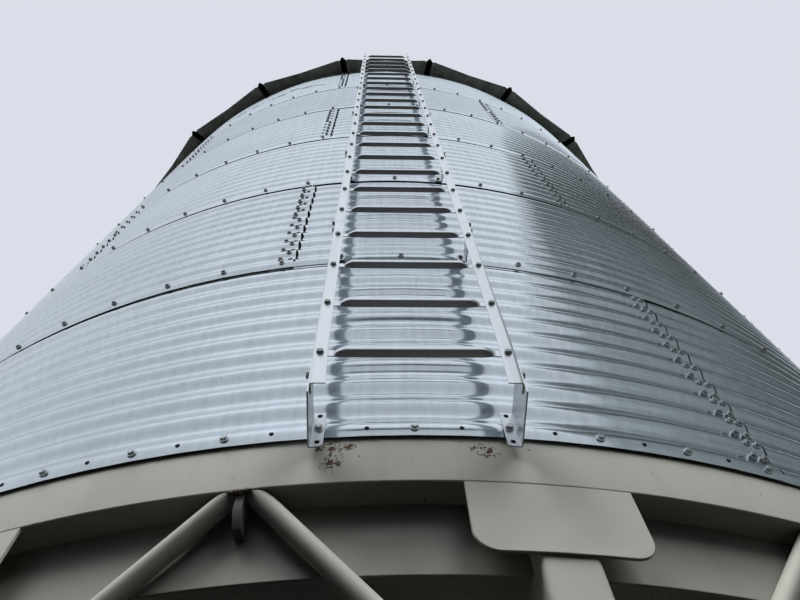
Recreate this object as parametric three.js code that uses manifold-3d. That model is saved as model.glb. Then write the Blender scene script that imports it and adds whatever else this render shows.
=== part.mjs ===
// Hopper-bottom grain silo: a bolted wall of six corrugated rings under a ribbed cone roof, on a painted
// steel hopper that stands on fourteen braced legs. Units are millimetres, +Z is up, the ground is z = 0,
// the silo's axis is the Z axis and the ladder is on the -Y side.
import * as THREE from "three";
import { mergeVertices } from "three/addons/utils/BufferGeometryUtils.js";
import Module from "manifold-3d";

// Driving dimensions
const GAP = 0.3; // clearance between pieces that touch
const BITE = 1; // how far joined solids reach into each other
const BEYOND = 200; // how far a cutting solid runs past what it cuts
const BOLT_PITCH = 238.125; // between bolts along a seam
const PITCHES_ROUND = 84; // seven sheets of twelve pitches
const CORRUGATION = 101.6; // wave length of the wall sheet
const RING_WAVES = 11; // corrugations between two seams
const RING_COUNT = 6;
const SHEET_DEPTH = 13; // over the corrugation's crests
const SHEET_LAP = 31; // sheet edge below its own row of bolts
const LOWEST_LAP = 24; // the same in the lowest ring
const BASE_SEAM_Z = 2950; // lowest row of bolts above the ground

const ROOF_SLOPE = 30; // degrees
const ROOF_SHEET = 4;
const ROOF_RIBS = 21;
const RIB_WIDTH = 70;
const RIB_HEIGHT = 38;
const RIB_OVERHANG = 155; // rib tip beyond the wall
const EAVE_OVERHANG = 100; // panel edge beyond the wall
const RIB_START = 30; // rib's upper end beyond the fill collar
const FILL_RADIUS = 300;
const COLLAR_PLATE = 12;
const COLLAR_DROP = 40; // collar's foot below the roof sheet
const COLLAR_HEIGHT = 160;
const LID_CLEAR = 3; // between the collar and the lid's skirt
const LID_PLATE = 22;
const LID_SKIRT = 45;
const LID_EDGE = 6; // height of the lid's rim above its seat
const LID_RISE = 95;
const LID_KNOB = 60; // radius of the raised middle
const LID_KNOB_RISE = 30;

const BAND_PLATE = 8; // hopper ring plate
const BAND_DROP = 180; // hopper ring's foot below the lowest bolts
const BAND_RISE = 60; // hopper ring's top above the lowest bolts
const SHELF_INNER_R = 3106;
const SKIRT_DROP = 380; // inner ring's foot below the lowest bolts
const CONE_SLOPE = 38; // degrees
const CONE_PLATE = 6;
const CONE_TOP_DROP = 120; // cone's rim below the lowest bolts
const OUTLET_RADIUS = 280;
const OUTLET_DROP = 90; // collar's foot below the cone
const OUTLET_PLATE = 6;
const OUTLET_LIP = 50;

const LEG_COUNT = 14;
const LEG_BEARING = 5.42; // first leg, degrees from the ladder towards +X
const LEG_SIZE = 130;
const GUSSET_WIDTH = 392;
const GUSSET_CORNER = 55;
const GUSSET_BLANK = 60; // more than the curve's rise over the gusset's width
const BASE_PLATE = 250;
const BASE_PLATE_THICK = 12;
const PIPE_DIAMETER = 48.3;
const PIPE_SIDES = 12;
const BRACE_DROP = 870; // pipe's foot at the leg below the lowest bolts
const BRACE_FOOT_R = 3138;
const BRACE_TOP_R = 3155;
const BRACE_CROSSING = 36; // pipe centrelines meet this far above the shelf
const STIFFENER = 8;
const STIFFENER_LIFT = 10; // stiffener's foot above the skirt ring's

const RUNG_PITCH = 279.4; // 11 in, four rungs to a wall ring
const RUNGS_PER_SECTION = 4;
const LADDER_SECTIONS = 6;
const RAIL_DROP = 41; // ladder's foot below the lowest bolts
const RAIL_HOLD = 300; // rails run on above the last section's length
const RAIL_FACE = 37;
const RAIL_WEB = 33;
const RAIL_SHEET = 3;
const RAIL_OUTER_X = 256.6;
const LADDER_STANDOFF = 165; // rail face beyond the wall's bolt line
const RUNG_HEIGHT = 26;
const RUNG_STRIP = 4;
const RUNG_PRESS = 18; // rung's middle is pressed out this far from its flat ends
const RUNG_FLAT_X = 205; // flat ends start here
const RUNG_TAPER = 31;
const BRACKET_SHEET = 4;
const BRACKET_CLEAR = 4; // bracket's web ends this far behind the rail's face
const BRACKET_LIP = 15; // bracket's edge beyond its bolt, on the ladder's inner side
const CLIP_HEIGHT = 80; // less than twice RAIL_DROP, so that a clip stays on its own section
const FOOT_DROP = 70; // foot bracket's lip below the lowest bolts
const FOOT_RISE = 64; // foot bracket's top above the lowest bolts

const GATE_HALF = 340;
const GATE_REACH = 1000; // rails run back far enough for the whole plate
const GATE_PLATE = 8;
const GATE_RAIL = 30;
const GATE_RAIL_DROP = 44;
const GATE_BLADE = 6;
const GATE_BLADE_DROP = 24;
const GATE_PULL_HALF = 90;
const GATE_PULL_REACH = 40;
const GATE_PULL_RISE = 4; // pull's top above the blade's

const wasm = await Module();
wasm.setup();

// Sizes that follow
const rad = THREE.MathUtils.degToRad;
const ringHeight = CORRUGATION * RING_WAVES;
const wallR = (BOLT_PITCH * PITCHES_ROUND) / (2 * Math.PI);
const wallOuterR = wallR + SHEET_DEPTH / 2;
const wallInnerR = wallR - SHEET_DEPTH / 2;
const pitchAngle = 360 / PITCHES_ROUND;
const bandOuterR = wallInnerR - GAP;
const bandInnerR = bandOuterR - BAND_PLATE;
const shelfZ = BASE_SEAM_Z - BAND_DROP;
const wallTopZ = BASE_SEAM_Z + RING_COUNT * ringHeight + SHEET_LAP;
const coneRun = Math.tan(rad(CONE_SLOPE));
const roofRun = Math.tan(rad(ROOF_SLOPE));
const railFaceY = -(wallR + LADDER_STANDOFF);

// Materials
const galvanised = new THREE.MeshStandardMaterial({ color: 0xb4b9bd, metalness: 0.85, roughness: 0.38 });
const zincRoof = new THREE.MeshStandardMaterial({ color: 0xa4a9ad, metalness: 0.8, roughness: 0.45 });
const painted = new THREE.MeshStandardMaterial({ color: 0x9ea198, metalness: 0.1, roughness: 0.5 });

const silo = new THREE.Group();

// A closed geometry as a solid that can be joined or cut.
function solid(geometry) {
  const bare = geometry.clone();
  bare.deleteAttribute("normal");
  bare.deleteAttribute("uv");
  const merged = mergeVertices(bare, 1e-3);
  return new wasm.Manifold(
    new wasm.Mesh({
      numProp: 3,
      vertProperties: new Float32Array(merged.attributes.position.array),
      triVerts: new Uint32Array(merged.index.array),
    }),
  );
}

function geometryOf(body) {
  const { vertProperties, triVerts } = body.getMesh();
  const geometry = new THREE.BufferGeometry();
  geometry.setAttribute("position", new THREE.BufferAttribute(vertProperties, 3));
  geometry.setIndex(new THREE.BufferAttribute(triVerts, 1));
  return geometry;
}

function join(...geometries) {
  return geometryOf(geometries.map(solid).reduce((all, one) => all.add(one)));
}

function cut(geometry, ...tools) {
  return geometryOf(tools.map(solid).reduce((left, tool) => left.subtract(tool), solid(geometry)));
}

function overlap(a, b) {
  return geometryOf(solid(a).intersect(solid(b)));
}

function add(name, geometry, material, bearing = 0) {
  const flat = geometry.index ? geometry.toNonIndexed() : geometry;
  flat.computeVertexNormals();
  const mesh = new THREE.Mesh(flat, material);
  mesh.name = name;
  mesh.rotation.z = rad(bearing);
  silo.add(mesh);
  return mesh;
}

// A ring about the Z axis from a closed outline of [radius, z] points, listed anticlockwise.
function ring(outline, sides = PITCHES_ROUND) {
  const points = [...outline, outline[0]].map(([r, z]) => new THREE.Vector2(r, z));
  return new THREE.LatheGeometry(points, sides).rotateX(Math.PI / 2);
}

// A plain slab between two corners.
function slab([x0, y0, z0], [x1, y1, z1]) {
  const box = new THREE.BoxGeometry(x1 - x0, y1 - y0, z1 - z0);
  return box.translate((x0 + x1) / 2, (y0 + y1) / 2, (z0 + z1) / 2);
}

// An outline in the XY plane, raised from z0 to z1.
function raise(points, z0, z1) {
  const shape = new THREE.Shape(points.map(([x, y]) => new THREE.Vector2(x, y)));
  return new THREE.ExtrudeGeometry(shape, { depth: z1 - z0, bevelEnabled: false }).translate(0, 0, z0);
}

// An outline of [depth, z] points, extruded across the silo's -Y face: depth is the distance from the axis.
function sideways(points, width) {
  const shape = new THREE.Shape(points.map(([r, z]) => new THREE.Vector2(r, z)));
  const bar = new THREE.ExtrudeGeometry(shape, { depth: width, bevelEnabled: false });
  return bar.translate(0, 0, -width / 2).rotateX(Math.PI / 2).rotateZ(-Math.PI / 2);
}

// Wall: six plain rings that hold the place of the corrugated sheets.
function wallRing(index) {
  const seam = BASE_SEAM_Z + index * ringHeight;
  const foot = seam - (index > 0 ? SHEET_LAP : LOWEST_LAP);
  const last = index === RING_COUNT - 1;
  const top = last ? wallTopZ : seam + ringHeight - SHEET_LAP - GAP;
  return ring([[wallInnerR, foot], [wallOuterR, foot], [wallOuterR, top], [wallInnerR, top]]);
}

// Roof: a cone of sheet with a raised rib over each joint between two panels.
function roofUnderside(r) {
  return wallTopZ + GAP + (wallOuterR - r) * roofRun;
}

function roof() {
  const rise = ROOF_SHEET / Math.cos(rad(ROOF_SLOPE));
  const eaveR = wallR + EAVE_OVERHANG;
  const eaveZ = roofUnderside(eaveR);
  const neckZ = roofUnderside(FILL_RADIUS);
  const sheet = ring([
    [eaveR, eaveZ],
    [eaveR, eaveZ + rise],
    [FILL_RADIUS, neckZ + rise],
    [FILL_RADIUS, neckZ],
  ]);
  const tipR = wallR + RIB_OVERHANG;
  const footR = FILL_RADIUS + RIB_START;
  const length = (tipR - footR) / Math.cos(rad(ROOF_SLOPE));
  const peak = new THREE.Shape([
    new THREE.Vector2(-RIB_WIDTH / 2, 0),
    new THREE.Vector2(RIB_WIDTH / 2, 0),
    new THREE.Vector2(0, RIB_HEIGHT),
  ]);
  const rib = new THREE.ExtrudeGeometry(peak, { depth: length, bevelEnabled: false })
    .rotateX(Math.PI / 2)
    .rotateX(rad(ROOF_SLOPE))
    .translate(0, -footR, roofUnderside(footR) + rise / 2);
  const step = 360 / ROOF_RIBS;
  const ribs = Array.from({ length: ROOF_RIBS }, (_, i) => rib.clone().rotateZ(rad((i + 0.5) * step)));
  return join(sheet, ...ribs);
}

function roofCollar() {
  const foot = roofUnderside(FILL_RADIUS) + ROOF_SHEET;
  const inner = FILL_RADIUS - COLLAR_PLATE;
  const outer = FILL_RADIUS - GAP;
  const low = foot - COLLAR_DROP;
  const top = foot + COLLAR_HEIGHT;
  return ring([[inner, low], [outer, low], [outer, top], [inner, top]], PITCHES_ROUND / 2);
}

function roofLid() {
  const seat = roofUnderside(FILL_RADIUS) + ROOF_SHEET + COLLAR_HEIGHT + GAP;
  const inside = FILL_RADIUS + LID_CLEAR;
  const rim = inside + LID_PLATE;
  return ring(
    [
      [0, seat],
      [inside, seat],
      [inside, seat - LID_SKIRT],
      [rim, seat - LID_SKIRT],
      [rim, seat + LID_EDGE],
      [LID_KNOB, seat + LID_RISE],
      [LID_KNOB, seat + LID_RISE + LID_KNOB_RISE],
      [0, seat + LID_RISE + LID_KNOB_RISE],
    ],
    PITCHES_ROUND / 2,
  );
}

// Hopper: the ring that the wall stands round, the skirt ring inside it and the cone.
function hopperRing() {
  return ring([
    [SHELF_INNER_R, shelfZ],
    [bandOuterR, shelfZ],
    [bandOuterR, BASE_SEAM_Z + BAND_RISE],
    [bandInnerR, BASE_SEAM_Z + BAND_RISE],
    [bandInnerR, shelfZ + BAND_PLATE],
    [SHELF_INNER_R, shelfZ + BAND_PLATE],
  ]);
}

function coneUnderside(r) {
  return BASE_SEAM_Z - CONE_TOP_DROP - (bandInnerR - GAP - r) * coneRun;
}

function skirtRing() {
  const outer = SHELF_INNER_R - GAP;
  const inner = outer - BAND_PLATE;
  const foot = BASE_SEAM_Z - SKIRT_DROP;
  const clear = GAP / Math.cos(rad(CONE_SLOPE));
  return ring([
    [inner, foot],
    [outer, foot],
    [outer, coneUnderside(outer) - clear],
    [inner, coneUnderside(inner) - clear],
  ]);
}

function hopperCone() {
  const rise = CONE_PLATE / Math.cos(rad(CONE_SLOPE));
  const rimR = bandInnerR - GAP;
  return ring([
    [OUTLET_RADIUS, coneUnderside(OUTLET_RADIUS)],
    [rimR, coneUnderside(rimR)],
    [rimR, coneUnderside(rimR) + rise],
    [OUTLET_RADIUS, coneUnderside(OUTLET_RADIUS) + rise],
  ]);
}

// Outlet: a short collar with a flange, and the slide gate under it, drawn back.
const collarFootZ = coneUnderside(OUTLET_RADIUS) - OUTLET_DROP;

function outletCollar() {
  const wall = OUTLET_RADIUS + OUTLET_PLATE;
  const lip = OUTLET_RADIUS + OUTLET_LIP;
  return ring(
    [
      [OUTLET_RADIUS, collarFootZ],
      [lip, collarFootZ],
      [lip, collarFootZ + OUTLET_PLATE],
      [wall, collarFootZ + OUTLET_PLATE],
      [wall, coneUnderside(OUTLET_RADIUS) - GAP],
      [OUTLET_RADIUS, coneUnderside(OUTLET_RADIUS) - GAP],
    ],
    PITCHES_ROUND / 2,
  );
}

function slideGate() {
  const top = collarFootZ - GAP;
  const under = top - GATE_PLATE;
  const railFoot = top - GATE_RAIL_DROP;
  const inside = GATE_HALF - GATE_RAIL;
  const bladeTop = top - GATE_BLADE_DROP;
  const plate = slab([-GATE_HALF, -GATE_HALF, under], [GATE_HALF, GATE_HALF, top]);
  const hole = new THREE.CylinderGeometry(OUTLET_RADIUS, OUTLET_RADIUS, 5 * GATE_PLATE, PITCHES_ROUND / 2)
    .rotateX(Math.PI / 2)
    .translate(0, 0, top - GATE_PLATE / 2);
  const rails = [-GATE_HALF, inside].map((x) =>
    slab([x, -GATE_REACH, railFoot], [x + GATE_RAIL, GATE_HALF, under + BITE]),
  );
  const held = inside + BITE;
  const stop = slab([-held, inside, railFoot], [held, GATE_HALF, under + BITE]);
  const blade = slab([-held, -GATE_REACH, bladeTop - GATE_BLADE], [held, -GATE_HALF, bladeTop]);
  const pull = slab(
    [-GATE_PULL_HALF, -GATE_REACH - GATE_PULL_REACH, bladeTop - 2 * GATE_BLADE],
    [GATE_PULL_HALF, -GATE_REACH + BITE, bladeTop + GATE_PULL_RISE],
  );
  return join(cut(plate, hole), ...rails, stop, blade, pull);
}

// Legs: a square tube with a base plate, notched at the top behind the gusset that meets the hopper ring.
function leg() {
  const front = bandInnerR;
  const under = shelfZ - GAP;
  const notchZ = BASE_SEAM_Z - SKIRT_DROP - GAP;
  const tube = sideways(
    [
      [front - LEG_SIZE, BASE_PLATE_THICK - BITE],
      [front, BASE_PLATE_THICK - BITE],
      [front, under],
      [SHELF_INNER_R, under],
      [SHELF_INNER_R, notchZ],
      [front - LEG_SIZE, notchZ],
    ],
    LEG_SIZE,
  );
  const mid = front - LEG_SIZE / 2;
  const half = BASE_PLATE / 2;
  const plate = slab([-half, -mid - half, 0], [half, -mid + half, BASE_PLATE_THICK]);
  return join(tube, plate, gusset());
}

// Gusset: a plate that carries on the hopper ring's outer face, with round lower corners.
function gusset() {
  const top = shelfZ - GAP;
  const foot = BASE_SEAM_Z - SKIRT_DROP;
  const half = GUSSET_WIDTH / 2;
  const c = GUSSET_CORNER;
  const shape = new THREE.Shape();
  shape.moveTo(-half, top);
  shape.lineTo(-half, foot + c);
  shape.absarc(-half + c, foot + c, c, Math.PI, 1.5 * Math.PI);
  shape.lineTo(half - c, foot);
  shape.absarc(half - c, foot + c, c, 1.5 * Math.PI, 2 * Math.PI);
  shape.lineTo(half, top);
  const blank = new THREE.ExtrudeGeometry(shape, {
    depth: GUSSET_BLANK,
    bevelEnabled: false,
    curveSegments: 5,
  })
    .rotateX(Math.PI / 2)
    .translate(0, -bandInnerR + GUSSET_BLANK / 2, 0);
  const curve = ring([
    [bandInnerR - BITE, foot - BITE],
    [bandOuterR, foot - BITE],
    [bandOuterR, top + BITE],
    [bandInnerR - BITE, top + BITE],
  ]);
  return overlap(blank, curve);
}

// Braces: two pipes that meet at a stiffener under the hopper ring, midway between two legs.
function brace() {
  const half = rad(180 / LEG_COUNT);
  const stiffener = slab(
    [-STIFFENER / 2, -bandInnerR + BITE, BASE_SEAM_Z - SKIRT_DROP + STIFFENER_LIFT],
    [STIFFENER / 2, -SHELF_INNER_R - GAP, shelfZ - GAP],
  );
  const apex = new THREE.Vector3(0, -BRACE_TOP_R, shelfZ + BRACE_CROSSING);
  const pipes = [-1, 1].map((side) => {
    const foot = new THREE.Vector3(
      side * BRACE_FOOT_R * Math.sin(half),
      -BRACE_FOOT_R * Math.cos(half),
      BASE_SEAM_Z - BRACE_DROP - LEG_SIZE / 2,
    );
    const line = new THREE.LineCurve3(apex, foot);
    const pipe = new THREE.CylinderGeometry(
      PIPE_DIAMETER / 2,
      PIPE_DIAMETER / 2,
      line.getLength(),
      PIPE_SIDES,
    );
    const turn = new THREE.Quaternion().setFromUnitVectors(
      new THREE.Vector3(0, -1, 0),
      line.getTangent(0),
    );
    pipe.applyQuaternion(turn);
    const mid = line.getPoint(0.5);
    return pipe.translate(mid.x, mid.y, mid.z);
  });
  const far = -bandOuterR - BEYOND;
  const near = -bandInnerR + BEYOND;
  const above = slab([-BEYOND, far, shelfZ - GAP], [BEYOND, near, shelfZ + BEYOND]);
  const legs = [-1, 1].map((side) => {
    const hide = LEG_SIZE / 2 + GAP;
    return slab([-hide, far, 0], [hide, near, BASE_SEAM_Z]).rotateZ(side * half);
  });
  const reach = BRACE_FOOT_R * Math.sin(half);
  const bay = slab([-reach, far, 0], [reach, near, BASE_SEAM_Z]);
  const trimmed = cut(join(...pipes), above, ...legs);
  return join(overlap(trimmed, bay), stiffener);
}

// Ladder: pressed rails with trough rungs, in six bolted sections, each clipped to the seam at its foot.
function rail(side, foot, top) {
  const back = railFaceY + RAIL_SHEET;
  const outline = [
    [RAIL_OUTER_X - RAIL_FACE, railFaceY],
    [RAIL_OUTER_X, railFaceY],
    [RAIL_OUTER_X, railFaceY + RAIL_WEB],
    [RAIL_OUTER_X - RAIL_SHEET, railFaceY + RAIL_WEB],
    [RAIL_OUTER_X - RAIL_SHEET, back],
    [RAIL_OUTER_X - RAIL_FACE, back],
  ];
  return raise(side > 0 ? outline : outline.map(([x, y]) => [-x, y]).reverse(), foot, top);
}

// A bent strip: a lip that lies on the wall at its first bolt, and a web square to the rail, outside it.
function strip(side, foot, top, outer) {
  const bolt = rad(pitchAngle);
  const seat = wallOuterR + GAP;
  const along = (distance, off) => [
    (seat + off) * Math.sin(bolt) + distance * Math.cos(bolt),
    -(seat + off) * Math.cos(bolt) + distance * Math.sin(bolt),
  ];
  const bend = (outer - seat * Math.sin(bolt)) / Math.cos(bolt);
  const front = railFaceY + BRACKET_CLEAR;
  const outline = [
    along(-BRACKET_LIP, 0),
    along(-BRACKET_LIP, BRACKET_SHEET),
    along(bend - BRACKET_SHEET, BRACKET_SHEET),
    [outer - BRACKET_SHEET, front],
    [outer, front],
    along(bend, 0),
  ];
  return raise(side > 0 ? outline.reverse() : outline.map(([x, y]) => [-x, y]), foot, top);
}

function ladderSection(index) {
  const length = RUNG_PITCH * RUNGS_PER_SECTION;
  const foot = BASE_SEAM_Z - RAIL_DROP + index * length;
  const last = index + 1 === LADDER_SECTIONS;
  const top = foot + length + (last ? RAIL_HOLD : -GAP);
  const rungs = Array.from({ length: RUNGS_PER_SECTION }, (_, i) => rung(foot + (i + 0.5) * RUNG_PITCH));
  const seam = BASE_SEAM_Z + index * ringHeight;
  const clips = index > 0 ? [-1, 1].map((side) => clip(side, seam)) : [];
  return join(rail(-1, foot, top), rail(1, foot, top), ...rungs, ...clips);
}

// Rung: a strip behind the rails' faces, its middle pressed out towards the climber.
function rung(mid) {
  const end = RAIL_OUTER_X - RAIL_SHEET + BITE;
  const front = railFaceY + RAIL_SHEET - BITE;
  const back = front + RUNG_STRIP;
  const outline = [
    [-end, back],
    [-end, front],
    [-RUNG_FLAT_X, front],
    [-RUNG_FLAT_X + RUNG_TAPER, front - RUNG_PRESS],
    [RUNG_FLAT_X - RUNG_TAPER, front - RUNG_PRESS],
    [RUNG_FLAT_X, front],
    [end, front],
    [end, back],
  ];
  return raise(outline, mid - RUNG_HEIGHT / 2, mid + RUNG_HEIGHT / 2);
}

function clip(side, seam) {
  const half = CLIP_HEIGHT / 2;
  return strip(side, seam - half, seam + half, RAIL_OUTER_X + BRACKET_SHEET - BITE);
}

// Foot bracket: the longer strip that carries the ladder's foot, with a gap of its own to the rail.
function ladderFoot(side) {
  const outer = RAIL_OUTER_X + GAP + BRACKET_SHEET;
  return strip(side, BASE_SEAM_Z - FOOT_DROP, BASE_SEAM_Z + FOOT_RISE, outer);
}

for (let i = 0; i < RING_COUNT; i++) add(`wall_ring_${i + 1}`, wallRing(i), galvanised);
add("roof", roof(), zincRoof);
add("roof_collar", roofCollar(), zincRoof);
add("roof_lid", roofLid(), zincRoof);
add("hopper_ring", hopperRing(), painted);
add("skirt_ring", skirtRing(), painted);
add("hopper_cone", hopperCone(), painted);
add("outlet_collar", outletCollar(), painted);
add("slide_gate", slideGate(), painted);
const legShape = leg();
const braceShape = brace();
for (let i = 0; i < LEG_COUNT; i++) {
  const number = String(i + 1).padStart(2, "0");
  const bearing = LEG_BEARING + (i * 360) / LEG_COUNT;
  add(`leg_${number}`, legShape.clone(), painted, bearing);
  add(`brace_${number}`, braceShape.clone(), painted, bearing + 180 / LEG_COUNT);
}
for (let i = 0; i < LADDER_SECTIONS; i++) add(`ladder_section_${i + 1}`, ladderSection(i), galvanised);
add("ladder_foot_left", ladderFoot(-1), galvanised);
add("ladder_foot_right", ladderFoot(1), galvanised);

export default silo;
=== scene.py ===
"""Looks of the grain silo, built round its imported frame. Lengths are metres, +Z is up, and a bearing is an
angle round the silo from the ladder (-Y) towards +X, in radians."""
import itertools
import math

import bmesh
import bpy
import numpy as np
from bpy.props import FloatProperty, FloatVectorProperty, PointerProperty
from mathutils import Matrix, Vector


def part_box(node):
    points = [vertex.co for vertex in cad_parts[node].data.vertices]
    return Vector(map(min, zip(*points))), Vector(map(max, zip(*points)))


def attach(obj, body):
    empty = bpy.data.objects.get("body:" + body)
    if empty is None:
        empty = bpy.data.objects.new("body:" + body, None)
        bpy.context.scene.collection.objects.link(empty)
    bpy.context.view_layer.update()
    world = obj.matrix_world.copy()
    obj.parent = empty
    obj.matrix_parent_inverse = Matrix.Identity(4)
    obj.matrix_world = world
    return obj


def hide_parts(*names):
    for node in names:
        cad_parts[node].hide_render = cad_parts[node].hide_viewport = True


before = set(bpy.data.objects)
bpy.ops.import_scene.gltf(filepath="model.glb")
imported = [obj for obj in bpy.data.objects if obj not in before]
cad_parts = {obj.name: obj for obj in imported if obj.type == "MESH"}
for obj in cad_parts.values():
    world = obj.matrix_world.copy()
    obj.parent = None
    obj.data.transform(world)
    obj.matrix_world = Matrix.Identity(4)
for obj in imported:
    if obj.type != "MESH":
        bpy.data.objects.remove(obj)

bl_info = {
    "name": "Grain Silo Builder",
    "version": (1, 0, 0),
    "blender": (4, 5, 0),
    "location": "3D View > Sidebar > Silo",
    "description": "Dresses the packed grain silo with sheets, bolts, ladder, paint and a stage",
    "category": "Object",
}

CLEAR = 0.0003  # between pieces that touch
RING_SIDES = 336  # flats round the hopper's rings
ROUND_SIDES = 168  # flats round the other turned pieces
CORNER_STEPS = 5  # points in a rounded corner

# Wall sheets
BOLT_PITCH = 0.238125
PITCHES_ROUND = 84
PITCHES_A_SHEET = 12
SHEETS_ROUND = PITCHES_ROUND // PITCHES_A_SHEET
WAVE = 0.1016
WAVES_A_RING = 11
RING_COUNT = 6
SEAM_LAP = 0.031  # sheet edge below its own row of bolts
LOWEST_LAP = 0.024  # the same in the lowest ring
WAVE_STEPS = 10
CREST_RISE = 0.010  # nearest crest above a row of bolts
# Share of the wave's depth that each ring's lower margin keeps
MARGIN_DEPTH = (0.62, 0.88, 0.70, 0.62, 0.5, 0.5)
UP_LAP = 0.0019  # lower edge stands out over the ring below
SIDE_LAP = 0.0013  # right edge stands out over the next sheet
SIDE_REACH = 0.2  # pitches that two sheets of a ring overlap past their seam
# The sealant is partly real and partly painted shadow of the lap's gap
SEAL_WIDTH = (0.0055, 0.009, 0.009, 0.012, 0.013, 0.013)  # sealant that shows past a lap's edge, by ring
SEAL_RISE = (0.0002, 0.0017, 0.0004)  # sealant over the sheet: under the lap, at its edge and outside
SEAL_UNDER = 0.006  # sealant that reaches in under the lap
SEAL_THICK = 0.0012
VALLEY_RISE = 0.004  # bolts in the valleys of a vertical lap stand this far out on their sealant
PITCH = 2 * math.pi / PITCHES_ROUND
RING_HEIGHT = WAVE * WAVES_A_RING
WALL_R = BOLT_PITCH * PITCHES_ROUND / (2 * math.pi)
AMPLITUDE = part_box("wall_ring_1")[1].x - WALL_R
BASE_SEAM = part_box("wall_ring_1")[0].z + LOWEST_LAP
SEAMS = [BASE_SEAM + i * RING_HEIGHT for i in range(RING_COUNT)]
WALL_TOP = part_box("wall_ring_6")[1].z
FIRST_SHEET = (4, -2)  # pitch of a vertical seam in odd and even rings

# A tint for each ring's zinc, from the lowest ring up
RING_TINTS = ((1.0, 1.0, 1.0), (0.97, 0.97, 0.97), (1.0, 1.0, 1.0),
              (0.93, 0.95, 0.96), (0.83, 0.845, 0.86), (0.93, 0.95, 0.96))

# A scuff on the top ring: its height, and metres round the wall from the ladder where it fades in and out
SCUFF_Z = SEAMS[-1] + 0.49
SCUFF_LEFT = (-1.80, -1.70)
SCUFF_RIGHT = (-0.62, -0.72)

# Bolts: washer's radius, head's radius over its corners, height and, where given, thickness of the washer
BOLT_SIDES = 12
BOLT_HEIGHT = 0.0088
FLANGE_BOLT = (0.012, 0.0095, BOLT_HEIGHT)
ANCHOR_BOLT = (0.019, 0.0165, 0.016, 0.004)
FOOT_BOLT = (0.0125, 0.0098, 0.0098)
LADDER_BOLT = (0.0108, 0.0092, 0.0080, 0.0016)

# Empty holes, shown by dark discs of painted shade: radius and thickness
SPARE_DISC = (0.0062, 0.0006)
FOOT_DISC = (0.0068, 0.0004)
CLIP_DISC = (0.006, 0.0004)

# Roof
ROOF_RIBS = 21
ROOF_SECTOR = 2 * math.pi / ROOF_RIBS
ROOF_SLOPE = math.radians(30)
ROOF_RUN = math.tan(ROOF_SLOPE)
ROOF_FOOT_R = WALL_R + AMPLITUDE
EAVE_R = WALL_R + 0.14  # at the ribs; each panel's edge runs straight between them
EAVE_MID_R = EAVE_R * math.cos(math.pi / ROOF_RIBS)
RIB_TIP_R = WALL_R + 0.155
RIB_SHOULDER = (0.4, 0.72)  # shares of a rib's half width and rise
FILL_R = 0.3

# Hopper
BAND_LOW, BAND_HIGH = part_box("hopper_ring")
BAND_R = BAND_HIGH.x
EASE = 0.0012  # on the edges of plates
GATE_EASE = 0.0015
BAND_PLATE = 0.008
BEND_R = 0.005  # band's corner over the shelf
SHELF_Z = BAND_LOW.z
SHELF_INNER_R = 3.106
SKIRT_LOW, SKIRT_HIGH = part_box("skirt_ring")
SKIRT_R = SKIRT_HIGH.x
CONE_LOW, CONE_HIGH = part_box("hopper_cone")
CONE_R = CONE_HIGH.x
CONE_SLOPE = math.radians(38)
CONE_PLATE = 0.006 / math.cos(CONE_SLOPE)  # measured straight up
OUTLET_R = 0.28
FLANGE_PLATE = 0.006
FLANGE_BOLTS = 12
LEG_COUNT = 14
LEG_ANGLE = 2 * math.pi / LEG_COUNT
LEG_BEARING = math.radians(5.42)
LEG_SIZE = 0.13
LEG_FRONT_R = BAND_R - BAND_PLATE
GUSSET_FOOT = SKIRT_LOW.z
GUSSET_HALF = 0.196
GUSSET_CORNER = 0.055
BASE_PLATE = 0.25
BASE_THICK = 0.012
ANCHOR_ASIDE = 0.095
PIPE_R = 0.04830 / 2
PIPE_SIDES = 36
PIPE_APEX = (3.155, SHELF_Z + 0.040)  # radius and height where the centrelines meet
PIPE_ASIDE = 0.0028  # bearing of that point from midway between the legs
PIPE_FOOT = (3.138, SEAMS[0] - 0.923)
PIPE_GAP = 0.0015  # a pipe's head below the shelf
PIPE_HEAD_ASIDE = 0.034
WELD_LOOP = (0.033, 0.0255)  # half the weld's size along and across at a pipe's head
STUB_FRONT_R = 3.168
STUB_DROP = 0.085  # stiffener's foot below the shelf
STUB_HALF = 0.010

# Lumps of weld between the two pipes: half length, metres out, and radius
BRACE_LUMPS = ((0.030, 0.020, 0.0045), (0.018, 0.010, 0.0055), (0.010, 0.0, 0.005))

# Brightness of the paint beside that of the legs: the band is lightened as painted light against the wall's
# shade, the skirt and the stiffener darkened as painted shade under the shelf
BAND_TONE = 1.2
SKIRT_TONE = 0.75
STUB_TONE = 0.42

# Ladder
RUNG_PITCH = 0.2794
RUNGS_A_SECTION = 4
SECTION_COUNT = 6
LADDER_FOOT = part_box("ladder_section_1")[0].z
LADDER_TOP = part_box("ladder_section_6")[1].z
RAIL_FACE_Y = -(WALL_R + 0.165)
RAIL_OUTER_X = 0.2566
RAIL_FACE = 0.037
RAIL_WEB = 0.033
RAIL_SHEET = 0.003
RAIL_STRIP = 0.009  # outer part of a rail's face, bent back a little
RUNG_BOLT_X = 0.2381
RUNG_FLAT_X = 0.205  # a rung starts to be drawn out here
RUNG_TAPER = 0.036  # and has its full depth this far on
BRACKET_SHEET = 0.004
BRACKET_LIP = 0.015
FOOT_DROP = 0.07  # foot bracket below its bolt
FOOT_RISE = 0.064  # and above it
FOOT_HOLE = 0.05  # its empty holes from its bolt
FOOT_TOE = 0.0045  # the rails' feet stand this much closer together
FOOT_TOE_RISE = 0.17
CLIP_HALF = 0.04  # half a clip's height
CLIP_HOLE = 0.026  # its empty hole below its bolt
SIDE_BOLT_Y = RAIL_FACE_Y + 0.017
SIDE_BOLT_RISE = (0.057, 0.021)  # above the foot of the first section and of the others
SIDE_BOLT_DROP = 0.053  # below a section's top

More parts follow.
